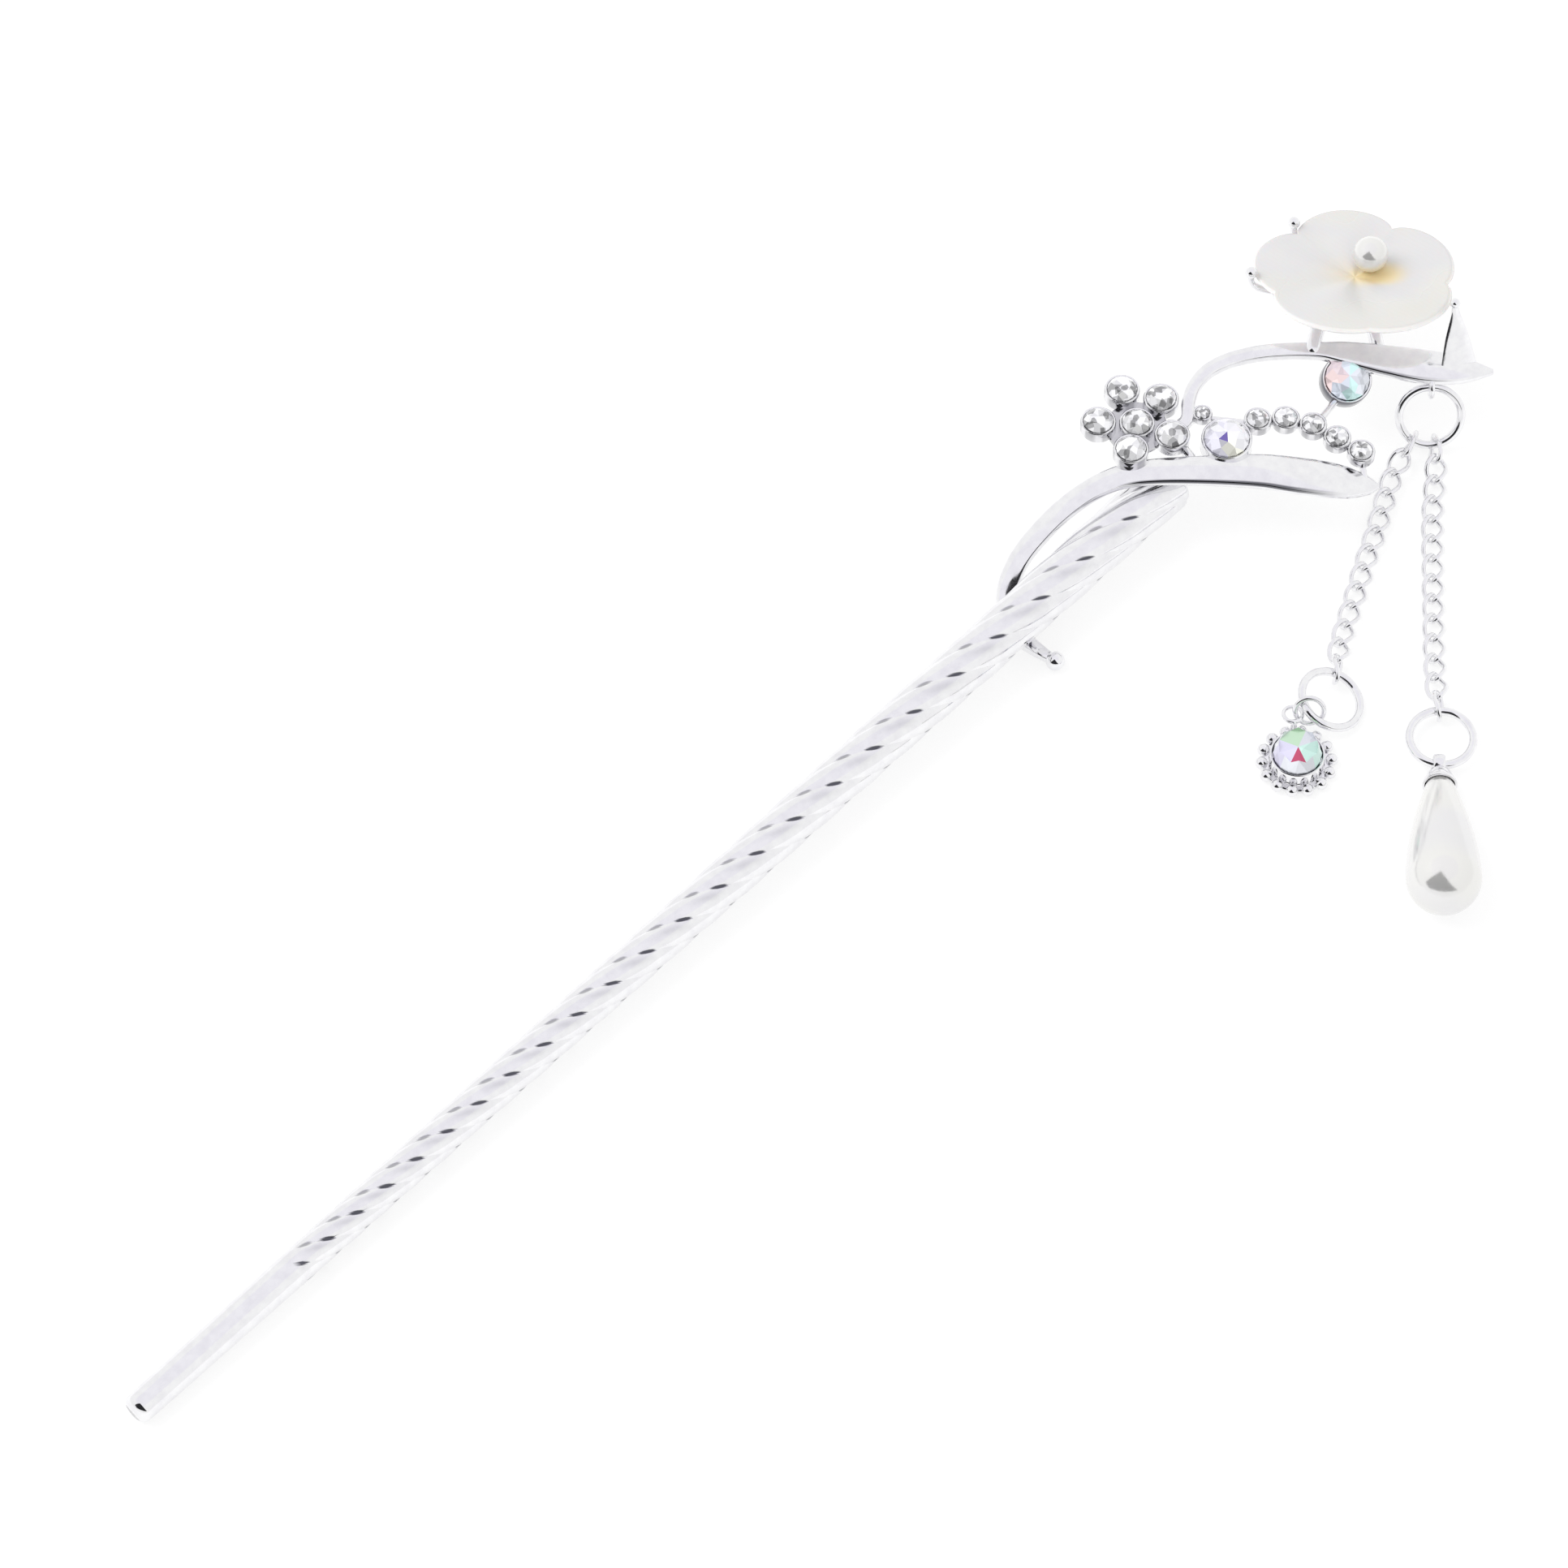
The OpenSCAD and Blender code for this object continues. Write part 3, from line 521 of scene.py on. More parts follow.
@dataclass(frozen=True)
class CutGlass(Finish):
    """Foil-backed cut glass: the facet's tone, broken by cells of painted reflection that stand
    for the facets seen through it.
    """

    name: str = "clear_glass"
    slot: str = "clear_crystal"
    roughness: float = 0.04
    # Cells of painted reflection: their scale, the tone lost in dark ones and the share that is
    # dark
    cells: float = 4.6
    depth: float = 0.6
    share: float = 0.24
    coat: float = 1.0

    def build(self, bench: NodeBench) -> bpy.types.Material:
        """Cells of painted reflection on the stone's plan darken or lighten the facet colour."""
        plan = bench.add("ShaderNodeUVMap")
        plan.uv_map = "plan"
        cells = bench.add("ShaderNodeTexVoronoi", Scale=self.cells, Randomness=0.85)
        bench.wire(plan.outputs["UV"], cells.inputs["Vector"])
        split = bench.add("ShaderNodeSeparateColor")
        bench.wire(cells.outputs["Color"], split.inputs["Color"])
        shade = bench.ramp(
            split.outputs["Red"],
            [(0.0, (1 - self.depth,) * 3), (self.share, (1.0,) * 3), (1.0, (1.0,) * 3)],
        )
        shade.color_ramp.interpolation = "CONSTANT"
        facet = bench.value("facet", "Color")
        bench.feed("Base Color", bench.blend(1.0, facet, shade.outputs["Color"], "MULTIPLY"))
        scratch = bench.noise(6.0)
        low, high = self.roughness, self.roughness * 2.5
        bench.feed("Roughness", bench.spread(scratch.outputs["Fac"], low, high, 0.4, 0.8))
        bench.set(Metallic=0.35, Coat_Weight=self.coat, Coat_Roughness=0.02, Coat_IOR=1.55)
        bench.bump(scratch.outputs["Fac"], 0.002, 0.2)
        return bench.material


@dataclass(frozen=True)
class Nacre(Finish):
    """Carved shell: cloudy cream and cool grey with faint growth bands, an amber hollow and a
    lighter underside, which is painted light.
    """

    name: str = "shell_nacre"
    slot: str = "shell"
    cream: Colour = (0.66, 0.645, 0.60)
    pale: Colour = (0.67, 0.665, 0.645)
    cool: Colour = (0.64, 0.63, 0.655)
    # Amber tint of the hollow, made lighter as painted light against the pearl's shadow on it
    amber: Colour = (0.84, 0.68, 0.38)
    green: Colour = (0.60, 0.61, 0.56)
    # Lighter colour of the underside: painted light that offsets the shade it lies in
    back: Colour = (0.97, 0.96, 0.95)

    def build(self, bench: NodeBench) -> bpy.types.Material:
        """Clouds choose the tone, bands modulate it and attributes tint the hollow and paint light
        on the underside.
        """
        cloud = bench.noise(0.12, 1.5, 0.5)
        tone = bench.ramp(
            cloud.outputs["Fac"],
            [(0.20, self.cream), (0.42, self.pale), (0.58, self.cool), (0.80, self.pale)],
        )
        tone.color_ramp.interpolation = "B_SPLINE"
        bands = bench.add(
            "ShaderNodeTexWave", Scale=0.55 / MM, Distortion=3.0, Detail=2.0, Detail_Scale=0.6
        )
        bench.wire(bench.coordinates.outputs["Object"], bands.inputs["Vector"])
        faint = bench.spread(bands.outputs["Fac"], 0.0, 0.12, 0.3, 1.0)
        banded = bench.blend(faint, tone.outputs["Color"], self.green)
        tinted = bench.blend(bench.value("amber"), banded, self.amber)
        # Painted light: the underside turns to the lighter colour
        bench.feed("Base Color", bench.blend(bench.value("back"), tinted, self.back))
        bench.feed("Roughness", bench.spread(cloud.outputs["Fac"], 0.22, 0.4, 0.3, 0.7))
        bench.set(Subsurface_Weight=0.12, Subsurface_Scale=0.0008)
        bench.set(Coat_Weight=0.35, Coat_Roughness=0.12)
        bench.bump(bands.outputs["Fac"], 0.006, 0.1)
        return bench.material


@dataclass(frozen=True)
class PearlLustre(Finish):
    """Lacquered pearl: a milky body under a mirror-like coat, with a faint cream side."""

    name: str = "pearl_lustre"
    slot: str = "pearl"
    body: Colour = (0.76, 0.755, 0.765)
    warm: Colour = (0.79, 0.785, 0.765)
    gleam: float = 0.6

    def build(self, bench: NodeBench) -> bpy.types.Material:
        """Broad clouds mix the two body tones and fine ones ripple the lacquer."""
        cloud = bench.noise(0.12, 2.0, 0.5)
        tone = bench.ramp(cloud.outputs["Fac"], [(0.4, self.body), (0.62, self.warm)])
        bench.feed("Base Color", tone.outputs["Color"])
        grain = bench.noise(3.0, 3.0)
        bench.feed("Roughness", bench.spread(grain.outputs["Fac"], 0.13, 0.2, 0.35, 0.7))
        bench.set(Metallic=self.gleam, Coat_Weight=0.6, Coat_Roughness=0.06)
        bench.bump(grain.outputs["Fac"], 0.003, 0.2)
        return bench.material


PLATE = SilverPlate()
CLEAR = CutGlass()
RAINBOW = CutGlass("rainbow_glass", "rainbow_crystal", cells=2.4, depth=0.14, share=0.45)
NACRE = Nacre()
PEARL = PearlLustre()


# Shank


@dataclass
class Shank:
    """Tapered stick with a plain tip and lobes that twist round it."""

    length: float = 147.5
    tip_d: float = 3.15
    end_d: float = 5.8
    plain: float = 22.5
    lobes: int = 5
    # Depth of a groove as a share of the radius
    depth: float = 0.085
    # Angles in degrees of the painted dark reflections in the grooves, at full and half darkness,
    # and half of a dash's length
    dark_at: float = 113.5
    dim_at: float = 76.0
    dash: float = 15.0
    dash_skew: float = -0.16
    # Half widths of the two kinds of dash in groove spacings, and the dim one's tone and length
    dark_width: float = 0.1
    dim_width: float = 0.12
    dim_tone: float = 0.55
    dim_length: float = 0.75
    # Tone of the faint patch of painted shade before a dash, and its place in groove spacings
    patch: float = 0.2
    patch_at: float = 0.34
    spacing: float = 3.75
    growth: float = 0.0262
    origin: float = 21.6
    start: float = 42.9
    bar_x: float = -23.0
    bar_top: float = 1.55
    points_a_lobe: int = 22
    step: float = 0.3
    lobe_power: float = 2.4
    # The grooves start to turn this far before the plain tip ends
    run_in: float = 3.0
    # Length over which both ends draw in, and how far each does
    end: float = 0.7
    tip_round: float = 0.45
    end_round: float = 0.6

    def d(self, s: np.ndarray | float) -> np.ndarray | float:
        """Diameter over the lobes, growing evenly from the tip."""
        return self.tip_d + (self.end_d - self.tip_d) * s / self.length

    def axis_z(self, s: np.ndarray) -> np.ndarray:
        """Height of the axis, a line from half the tip's diameter up to the bar under it."""
        at = self.length + self.bar_x
        rise = (self.bar_top + self.d(at) / 2 - self.tip_d / 2) / at
        return self.tip_d / 2 + rise * s

    def turn(self, s: np.ndarray) -> np.ndarray:
        """Grooves passed since the origin, whose spacing grows steadily along the shank."""
        return np.log(1 + self.growth * (s - self.origin) / self.spacing) / self.growth

    def draw_in(self, s: np.ndarray) -> np.ndarray:
        """How far the two ends draw in, as a parabola."""
        tip = self.tip_round * np.clip(1 - s / self.end, 0, 1) ** 2
        return tip + self.end_round * np.clip(1 - (self.length - s) / self.end, 0, 1) ** 2

    def skin(self) -> Skin:
        """Rings of lobes.

        The radius is half the diameter less a share times a power of q, where q runs from -1 to 1
        over a lobe, and the lobes turn by one for each groove passed. The points of a ring lie
        closer together beside a groove.
        """
        near, far = self.plain - self.run_in, self.length - self.end
        stretches = (
            np.linspace(0, self.end, 8), np.linspace(self.end, near, 22),
            np.arange(near, far, self.step), np.linspace(far, self.length, 8),
        )
        s = np.unique(np.concatenate(stretches))[:, None]
        even = np.arange(self.lobes * self.points_a_lobe)[None, :] / self.points_a_lobe
        column = even - 0.1 * np.sin(2 * np.pi * even)
        q = 2 * (column % 1.0) - 1
        turned = column + self.turn(np.maximum(s, near))
        angle = np.radians(self.start + 360 / self.lobes * turned)
        fade = smooth((s - self.plain + 0.4) / 1.8)
        dip = self.depth * np.abs(q) ** self.lobe_power
        r = self.d(s) / 2 * (1 - fade * dip) - self.draw_in(s)
        grid = polar(r, angle, s - self.length)[..., [2, 0, 1]]
        grid[..., 2] += self.axis_z(s)
        skin = Skin.grid(grid)
        beside = (column + 0.5) % 1.0 - 0.5
        # Dashes keep their size in millimetres while the grooves grow further apart
        width = self.spacing / (self.spacing + self.growth * np.maximum(s - self.origin, 0))
        dash = self.dash * (self.d(self.origin) / self.d(s)) ** 0.8
        # Painted dark reflections in the grooves as dark and dim dashes, and a faint painted shade
        # before each dark dash
        dark = self.dash_value(angle, beside, self.dark_at, self.dark_width * width, dash)
        thick, short = self.dim_width * width, self.dim_length * dash
        dim = self.dim_tone * self.dash_value(angle, beside, self.dim_at, thick, short)
        around = self.wrap(angle, self.dark_at)
        before = (column + 0.5 - self.patch_at) % 1.0 - 0.5
        faint = self.patch * np.exp(-((around / 0.3) ** 2) - (before / 0.17) ** 2)
        painted = smooth((s - self.plain + 1.6) / 0.8)
        tone = painted * np.clip(dark + dim + faint, 0, 1)
        # The painted shade and dark reflections, for the plating's dark tone
        skin.values["recess"] = np.append(tone, [0, 0])
        return skin

    def wrap(self, angle: np.ndarray, at: float) -> np.ndarray:
        """Angle in radians from the nearest of three places round the shank, the first at one."""
        return (angle - math.radians(at) + np.pi / 3) % (2 * np.pi / 3) - np.pi / 3

    def dash_value(
        self, angle: np.ndarray, beside: np.ndarray, at: float, half: np.ndarray, dash: np.ndarray
    ) -> np.ndarray:
        """Painted dark reflections: dashes along the grooves, three times round the shank.

        A dash is widest in its middle and narrows to nothing at both ends as the square root of
        one less the square of the place along it. It is slightly turned out of the groove.

        Args:
            angle: angle of each point round the shank.
            beside: distance from the nearest groove, in groove spacings.
            at: angle in degrees of the middle of a dash.
            half: half of the dash's greatest width, in groove spacings.
            dash: half of the dash's length, in degrees round the shank.

        Returns:
            1 inside a dash and 0 outside.
        """
        around = self.wrap(angle, at)
        place = around / np.radians(dash)
        width = half * np.sqrt(np.clip(1 - place**2, 0, 1))
        inside = (width - np.abs(beside + self.dash_skew * around)) / 0.02 + 0.5
        return np.clip(inside, 0, 1) * (width > 0)

    def build(self) -> None:
        """Makes the shank."""
        make_piece("twisted_shank", self.skin(), PLATE, ["shank"])


# Stones and their cups

# Gap to the stone in the solids, and in the looks
CUP_GAP = 0.08
CUP_LINE = 0.035
CUP_WALL = 0.22
CUP_BASE = 0.4
CUP_SIDES = 48


@dataclass(frozen=True)
class Stone:
    """A cut stone: where its girdle sits, how wide it is and the tones of its facets."""

    node: str
    place: Place
    d: float
    finish: Finish
    sectors: tuple[Colour, ...]
    seed: int
    pavilion: float = 0.26
    table: float = 0.56
    crown: float = 0.2
    girdle: float = 0.06
    # Radius of the star's tips, and of the corners on the base
    star: float = 0.80
    base: float = 0.45
    tones: tuple[float, ...] = (0.7, 0.9, 1.0, 1.0, 1.05)
    # Number of bands of painted shade round the cup, 0 for even shade, and how dark that shade is
    prongs: int = 6
    cup_shade: float = 0.5
    crown_sectors: tuple[Colour, ...] | None = None

    def circle(self, r: float, z: float, offset: float) -> np.ndarray:
        """Eight points on a circle, from a start angle in degrees."""
        return polar(r, np.radians(45 * np.arange(8) + offset), z)

    def skin(self) -> Skin:
        """Round brilliant.

        The table is a fan of eight triangles, so that each shows one sector of the foil behind it.
        Star tips lie on the planes of the kites, which fall evenly from table to girdle, and
        sixteen triangles fill in above the girdle. The base is eight kites with sixteen triangles.
        """
        r, top = self.d / 2, (self.crown + self.girdle) * self.d
        g, foot = self.girdle * self.d / 2, -(self.pavilion + self.girdle) * self.d
        table_r, star_r, low_r = self.table * r, self.star * r, self.base * r
        step = 22.5
        slope = np.cos(np.radians(step))
        star_z = top + (g - top) * (star_r * slope - table_r) / (r - table_r)
        low_z = foot + (-g - foot) * (low_r * slope) / r
        circles = (
            (table_r, top, 0), (star_r, star_z, step), (r, g, 0), (r, g, step), (r, -g, 0),
            (r, -g, step), (low_r, low_z, step),
        )
        rings = [self.circle(*ring) for ring in circles]
        points = np.vstack([[[0, 0, top]], *rings, [[0, 0, foot]]])
        k, n = np.arange(8), (np.arange(8) + 1) % 8
        before = (k - 1) % 8
        table, star, main, half = 1 + k, 9 + k, 17 + k, 25 + k
        main_low, half_low, low, foot_at = 33 + k, 41 + k, 49 + k, np.full(8, 57)
        quads = columns(
            (table, 9 + before, main, star), (main, main_low, half_low, half),
            (half, half_low, 33 + n, 17 + n), (foot_at, low, main_low, 49 + before),
        )
        tris = columns(
            (0 * k, table, 1 + n), (table, star, 1 + n), (star, main, half), (star, half, 17 + n),
            (low, half_low, main_low), (low, 33 + n, half_low),
        )
        flat = points[:, :2] / self.d + self.seed * 1.7
        return Skin(points, quads, tris, {}, self.paint(points, quads, tris), flat)

    def paint(self, points: np.ndarray, quads: np.ndarray, tris: np.ndarray) -> np.ndarray:
        """Colour of each facet: its sector's, times a seeded tone of its own.

        Args:
            points: the stone's points.
            quads: its four-sided facets.
            tris: its triangles, the first eight of which are the table.

        Returns:
            A row of red, green, blue and alpha for each facet.
        """
        centres = np.vstack([points[quads].mean(1), points[tris].mean(1)])
        way = np.degrees(np.arctan2(centres[:, 1], centres[:, 0]))
        angle = way + SIDE_TURN + self.place.turn
        count = len(self.sectors)
        sector = np.floor(((angle % 360) / 360) * count).astype(int) % count
        chance = np.random.default_rng(self.seed)
        tone = chance.choice(self.tones, size=len(centres))
        table = np.isin(np.arange(len(centres)) - len(quads), np.arange(8))[:, None]
        foil = np.array(self.sectors)[sector]
        crown = np.array(self.crown_sectors or self.sectors)[sector]
        colour = np.clip(np.where(table, foil, crown) * tone[:, None], 0.01, 1.0)
        return np.hstack([colour, np.ones((len(colour), 1))])

    def cup(self) -> Skin:
        """Round cup with a rolled rim at the girdle, and painted shade and dark reflection on its
        walls, in bands round it.
        """
        inner = self.d / 2 + CUP_LINE
        outer = self.d / 2 + CUP_GAP + CUP_WALL
        floor = -((self.pavilion + self.girdle) * self.d + CUP_GAP)
        foot = floor - CUP_BASE
        profile = [
            (0, foot), (outer - 0.2, foot), (outer - 0.05, foot + 0.08), (outer, foot + 0.25),
            (outer, -0.14), (outer - 0.02, -0.05), (outer - 0.11, 0.03), (inner + 0.03, -0.01),
            (inner, -0.08), (inner, floor + 0.05), (0, floor),
        ]
        skin = Skin.lathe(profile, CUP_SIDES)
        round_it = full_turn(CUP_SIDES)[None, :] + self.seed
        between = smooth((np.cos(self.prongs * round_it) + 0.7) / 0.9) if self.prongs else 1.0
        # Painted shade and dark reflection on the outer wall and the rim's inner side, one value a
        # profile row between the ends
        depth = np.array([0, 0.3, 0.7, 1, 0.9, 0, 0, 0.4, 0.4])[:, None] * self.cup_shade
        skin.values["recess"] = np.append(depth * between + 0 * round_it, [0, 0])
        return skin.placed(self.place)

    def build(self) -> None:
        """Makes the stone."""
        name, skin = self.node.replace("_stone", "_cut_stone"), self.skin().placed(self.place)
        make_piece(name, skin, self.finish, [self.node], Shading.FACETED)


# Greys of painted reflection for the facets of clear stones, from reflected light to dark
# surroundings
WHITE: Colour = (0.95, 0.95, 0.97)
LIGHT: Colour = (0.86, 0.86, 0.88)
GREY: Colour = (0.70, 0.70, 0.72)
DARK: Colour = (0.32, 0.32, 0.33)
PALE_TONES = (0.86, 0.95, 1.0, 1.06)


@dataclass
class StoneSet:
    """All the cut stones of the spray and the pendant."""

    cluster_d: float = 3.1
    leaf_d: float = 4.7
    cluster_at: Point = (0.1, 5.3, 9.9)
    # Each row: angle round the middle stone, distance from it
    cluster: tuple[Row, ...] = ((0, 0), (63, 4.4), (132, 4.0), (4, 4.0), (212, 3.4), (291, 3.9))
    # Each row: x, y, z of the girdle, diameter
    row: tuple[Row, ...] = (
        (6.0, 1.5, 9.3, 1.5), (9.6, -3.0, 9.0, 2.3), (11.8, -4.9, 8.9, 2.3),
        (13.4, -7.3, 8.5, 2.3), (14.3, -9.9, 7.8, 2.3), (15.2, -12.5, 6.9, 2.3),
    )
    # Painted reflections of light and dark surroundings in the clear stones' facets
    painted_reflection_greys: tuple[Colour, ...] = (
        WHITE, WHITE, LIGHT, WHITE, GREY, WHITE, LIGHT, DARK, WHITE, GREY, WHITE, LIGHT,
    )

    def shuffled(self, seed: int) -> tuple[Colour, ...]:
        """The painted reflection greys in a seeded order."""
        order = np.random.default_rng(seed).permutation(len(self.painted_reflection_greys))
        return tuple(self.painted_reflection_greys[i] for i in order)

    def clear(self, node: str, at: Point, d: float, seed: int) -> Stone:
        """A clear stone with painted reflection greys in its foil."""
        return Stone(node, Place(at), d, CLEAR, self.shuffled(seed), seed)

    def spray_stones(self) -> list[Stone]:
        """The stones that sit in cups of the spray."""
        stones = []
        for k, (angle, reach) in enumerate(self.cluster):
            at = tuple(np.array(self.cluster_at) + polar(reach, math.radians(angle), 0.0))
            stones.append(self.clear(f"cluster_stone_{k + 1}", at, self.cluster_d, k + 3))
        for k, line in enumerate(self.row):
            stones.append(self.clear(f"row_stone_{k + 1}", line[:3], line[3], k + 21))
        cyan, sea, blue = (0.66, 0.94, 0.92), (0.62, 0.88, 0.87), (0.76, 0.82, 0.93)
        pink, coral, mist = (0.93, 0.78, 0.84), (0.94, 0.74, 0.74), (0.80, 0.83, 0.90)
        foil = (mist, sea, blue, pink, coral, blue, cyan, mist)
        upper = Stone(
            "upper_leaf_stone", Place((20.6, -5.7, 7.6), -SIDE_TURN, 8.0, 20.0), self.leaf_d,
            RAINBOW, foil, 41, tones=PALE_TONES, prongs=0, cup_shade=1.0,
        )
        violet, straw, milk = (0.12, 0.08, 0.36), (0.96, 0.96, 0.86), (0.92, 0.92, 0.96)
        lilac = (0.84, 0.83, 0.94)
        foil = (lilac, milk, lilac, milk, lilac, violet, straw, milk)
        crown = (milk, milk, lilac, milk, lilac, lilac, straw, milk)
        lower = Stone(
            "lower_leaf_stone", Place((5.3, -2.5, 9.4)), self.leaf_d, RAINBOW, foil, 42,
            tones=PALE_TONES, prongs=0, cup_shade=0.0, crown_sectors=crown,
        )
        return [*stones, upper, lower]

    def pendant_stone(self) -> Stone:
        """The stone of the round pendant."""
        green, mint, lavender = (0.55, 0.76, 0.56), (0.60, 0.86, 0.78), (0.70, 0.68, 0.86)
        red, grey, pale = (0.62, 0.05, 0.16), (0.66, 0.68, 0.74), (0.78, 0.80, 0.86)
        foil = (grey, green, green, lavender, lavender, red, mint, mint)
        crown = (grey, green, pale, pale, lavender, pale, pale, mint)
        place = Place((*PENDANT_AT[:2], 2.15), 20.0)
        return Stone(
            "pendant_stone", place, PENDANT_STONE_D, RAINBOW, foil, 43, pavilion=0.19, table=0.82,
            tones=PALE_TONES, crown_sectors=crown,
        )

    def build(self) -> None:
        """Makes every stone."""
        for stone in [*self.spray_stones(), self.pendant_stone()]:
            stone.build()


# Spray


@dataclass
class Spray:
    """Casting of two leaves, cups, calyx and the loop of the top ring."""

    # Each row: x, y, z, width, thickness
    lower_leaf: tuple[Row, ...] = (
        (-22.9, -4.9, 0.95, 1.0, 1.0), (-23.1, -2.4, 0.80, 1.6, 1.2), (-23.0, 0.0, 0.72, 2.0, 1.4),
        (-21.9, 2.6, 0.85, 2.1, 1.5), (-20.3, 4.3, 1.70, 2.2, 1.6), (-17.6, 5.2, 3.30, 2.3, 1.6),
        (-14.4, 5.2, 5.00, 2.4, 1.5), (-11.4, 4.7, 6.60, 2.5, 1.4), (-8.4, 3.8, 7.80, 2.6, 1.4),
        (-5.5, 2.5, 8.45, 2.8, 1.3), (-2.8, 0.5, 8.60, 3.1, 1.3), (0.9, -3.0, 8.55, 3.5, 1.4),
        (5.1, -7.0, 8.10, 4.1, 1.5), (8.0, -10.0, 7.30, 4.5, 1.5), (11.2, -13.1, 6.10, 4.2, 1.3),
        (13.4, -15.0, 5.00, 2.4, 1.0), (14.3, -15.8, 4.50, 0.5, 0.6),
    )
    upper_leaf: tuple[Row, ...] = (
        (2.6, 2.6, 8.10, 1.5, 1.3), (4.5, 2.3, 8.60, 1.5, 1.3), (6.2, 3.6, 8.90, 1.5, 1.3),
        (8.2, 4.5, 9.00, 1.5, 1.3), (10.7, 4.7, 9.00, 1.6, 1.3), (13.5, 3.8, 9.00, 1.7, 1.3),
        (16.7, 1.7, 9.00, 1.8, 1.3), (20.2, -1.5, 8.80, 2.0, 1.3), (22.2, -3.9, 8.60, 2.9, 1.4),
        (24.6, -7.1, 8.20, 3.8, 1.4), (27.2, -10.4, 7.70, 4.2, 1.4), (30.0, -13.3, 7.10, 3.3, 1.2),
        (32.4, -15.6, 6.50, 0.6, 0.6),
    )
    # Half widths and half thicknesses
    leaf_section: tuple[Row, ...] = (
        (1, -0.6), (1, 0.3), (0.86, 0.76), (0.45, 0.94), (0, 1), (-0.45, 0.94), (-0.86, 0.76),
        (-1, 0.3), (-1, -0.6), (0, -1),
    )
    # The same with a sharper near edge, for the stem
    stem_section: tuple[Row, ...] = (
        (1, -0.6), (1, 0.3), (0.86, 0.76), (0.45, 0.94), (0, 1), (-0.5, 1.0), (-0.95, 0.99),
        (-1, 0.88), (-1, -0.6), (0, -1),
    )
    flower: Place = FLOWER_PLACE
    # Each row: distance from the middle, height, width, thickness
    arm_shape: tuple[Row, ...] = (
        (0, -2.9, 1.6, 0.8), (5, -2.6, 1.3, 0.8), (9, -2, 1.1, 0.7), (10.6, -1.1, 0.9, 0.7),
        (10.9, 0.2, 0.7, 0.6),
    )
    # Each row: angle, share of the arm's reach
    arms: tuple[Row, ...] = ((128, 0.89), (186, 1.01))
    arm_ball: float = 1.3
    ring_radius: float = 3.25
    # Steps between two rows of a leaf's table
    leaf_steps: int = 8
    # Rows of the lower leaf's table between which the stem's near edge is sharp
    sharp_rows: tuple[float, float] = (2.0, 9.6)
    # Painted dark reflection on the chamfer along each leaf's near edge: first row, last row and
    # depth of its tone
    lower_shade: Row = (8.6, 14.2, 0.9)
    upper_shade: Row = (7.6, 10.8, 0.6)

    def round_section(self, count: int = 20) -> np.ndarray:
        """Circle of half widths."""
        return polar(1.0, full_turn(count))

    def leaves(self) -> Skin:
        """Both leaves, their section's corners cut twice, and the ball at the bar's end."""
        steps = self.leaf_steps
        section = cut_corners(np.array(self.leaf_section, float), 2)
        stem = cut_corners(np.array(self.stem_section, float), 2)
        ball = Skin.ball(2.0, 28).placed(Place((*self.lower_leaf[0][:2], 1.0)))
        lower = Skin.sweep(self.lower_leaf, section, steps)
        upper = Skin.sweep(self.upper_leaf, section, steps)
        sharp = Skin.sweep(self.lower_leaf, stem, steps)
        row = np.repeat(np.arange((len(lower.points) - 2) // len(section)) / steps, len(section))
        first, last = self.sharp_rows
        share = np.append(smooth((row - first) / 1.5) * smooth((last - row) / 1.4), [0, 0])
        lower.points = lower.points + share[:, None] * (sharp.points - lower.points)
        self.shade_edge(lower, section, *self.lower_shade)
        self.shade_edge(upper, section, *self.upper_shade)
        return Skin.join([lower, upper, ball])

    def shade_edge(
        self, leaf: Skin, section: np.ndarray, start: float, finish: float, depth: float
    ) -> None:
        """Paints a dark reflection on the chamfer along a leaf's near edge over a stretch of its
        table's rows.
        """
        stations = (len(leaf.points) - 2) // len(section)
        row = np.arange(stations)[:, None] / self.leaf_steps
        fade = smooth((row - start) / 1.2) * smooth((finish - row) / 1.6)
        edge = (section[:, 0] < -0.84) & (section[:, 1] > 0.2)
        leaf.values["recess"] = np.append(depth * fade * edge[None, :], [0, 0])

    def cup_bars(self, stones: list[Stone]) -> Skin:
        """Bars under the cups that join them to each other and to the leaves."""
        cluster = [np.array(s.place.at) for s in stones[:6]]
        row = [np.array(s.place.at) for s in stones[6:12]]
        upper, lower = (np.array(s.place.at) for s in stones[12:14])
        up = np.array([0.0, 0.0, 1.0])
        deep = stones[0].pavilion + stones[0].girdle
        under = (deep * stones[0].d + CUP_GAP + 0.3) * up
        drop = (deep * stones[7].d + CUP_GAP + 0.2) * up
        joins = [(cluster[0] - under, c - under, 0.9) for c in cluster[1:]]
        rim = [(0, 0), (3.1, 0), (3.2, 0.1), (3.2, 0.4), (3.1, 0.5), (0, 0.5)]
        plate = Skin.lathe(rim, 48).placed(Place(tuple(cluster[0] - under)))
        # Painted shade on the plate, seen between the stones
        plate.values["recess"] = np.full(len(plate.points), 0.35)
        # Each row: from, to, diameter
        joins += [
            (cluster[4] - 1.5 * up, (-2.8, 1.2, 8.5), 1.1),
            (cluster[5] - 1.5 * up, (2.6, 2.6, 8.1), 1.1),
            ((2.6, 2.6, 8.1), (1.0, -2.4, 8.5), 1.1),
            (lower - 1.9 * up, (3.6, -5.0, 8.2), 1.2),
            (row[0] - drop, (4.5, 2.3, 8.4), 0.8),
            (row[5] - drop, (13.4, -14.8, 5.1), 0.7),
            (upper - 1.6 * up, (22.3, -4.6, 8.2), 1.2),
            (upper - 1.6 * up, row[3] - drop, 0.8),
        ]
        joins += [(a - drop, b - drop, 0.7) for a, b in zip(row, row[1:])]
        return Skin.join([plate] + [Skin.rod(tuple(a), tuple(b), d, 12) for a, b, d in joins])

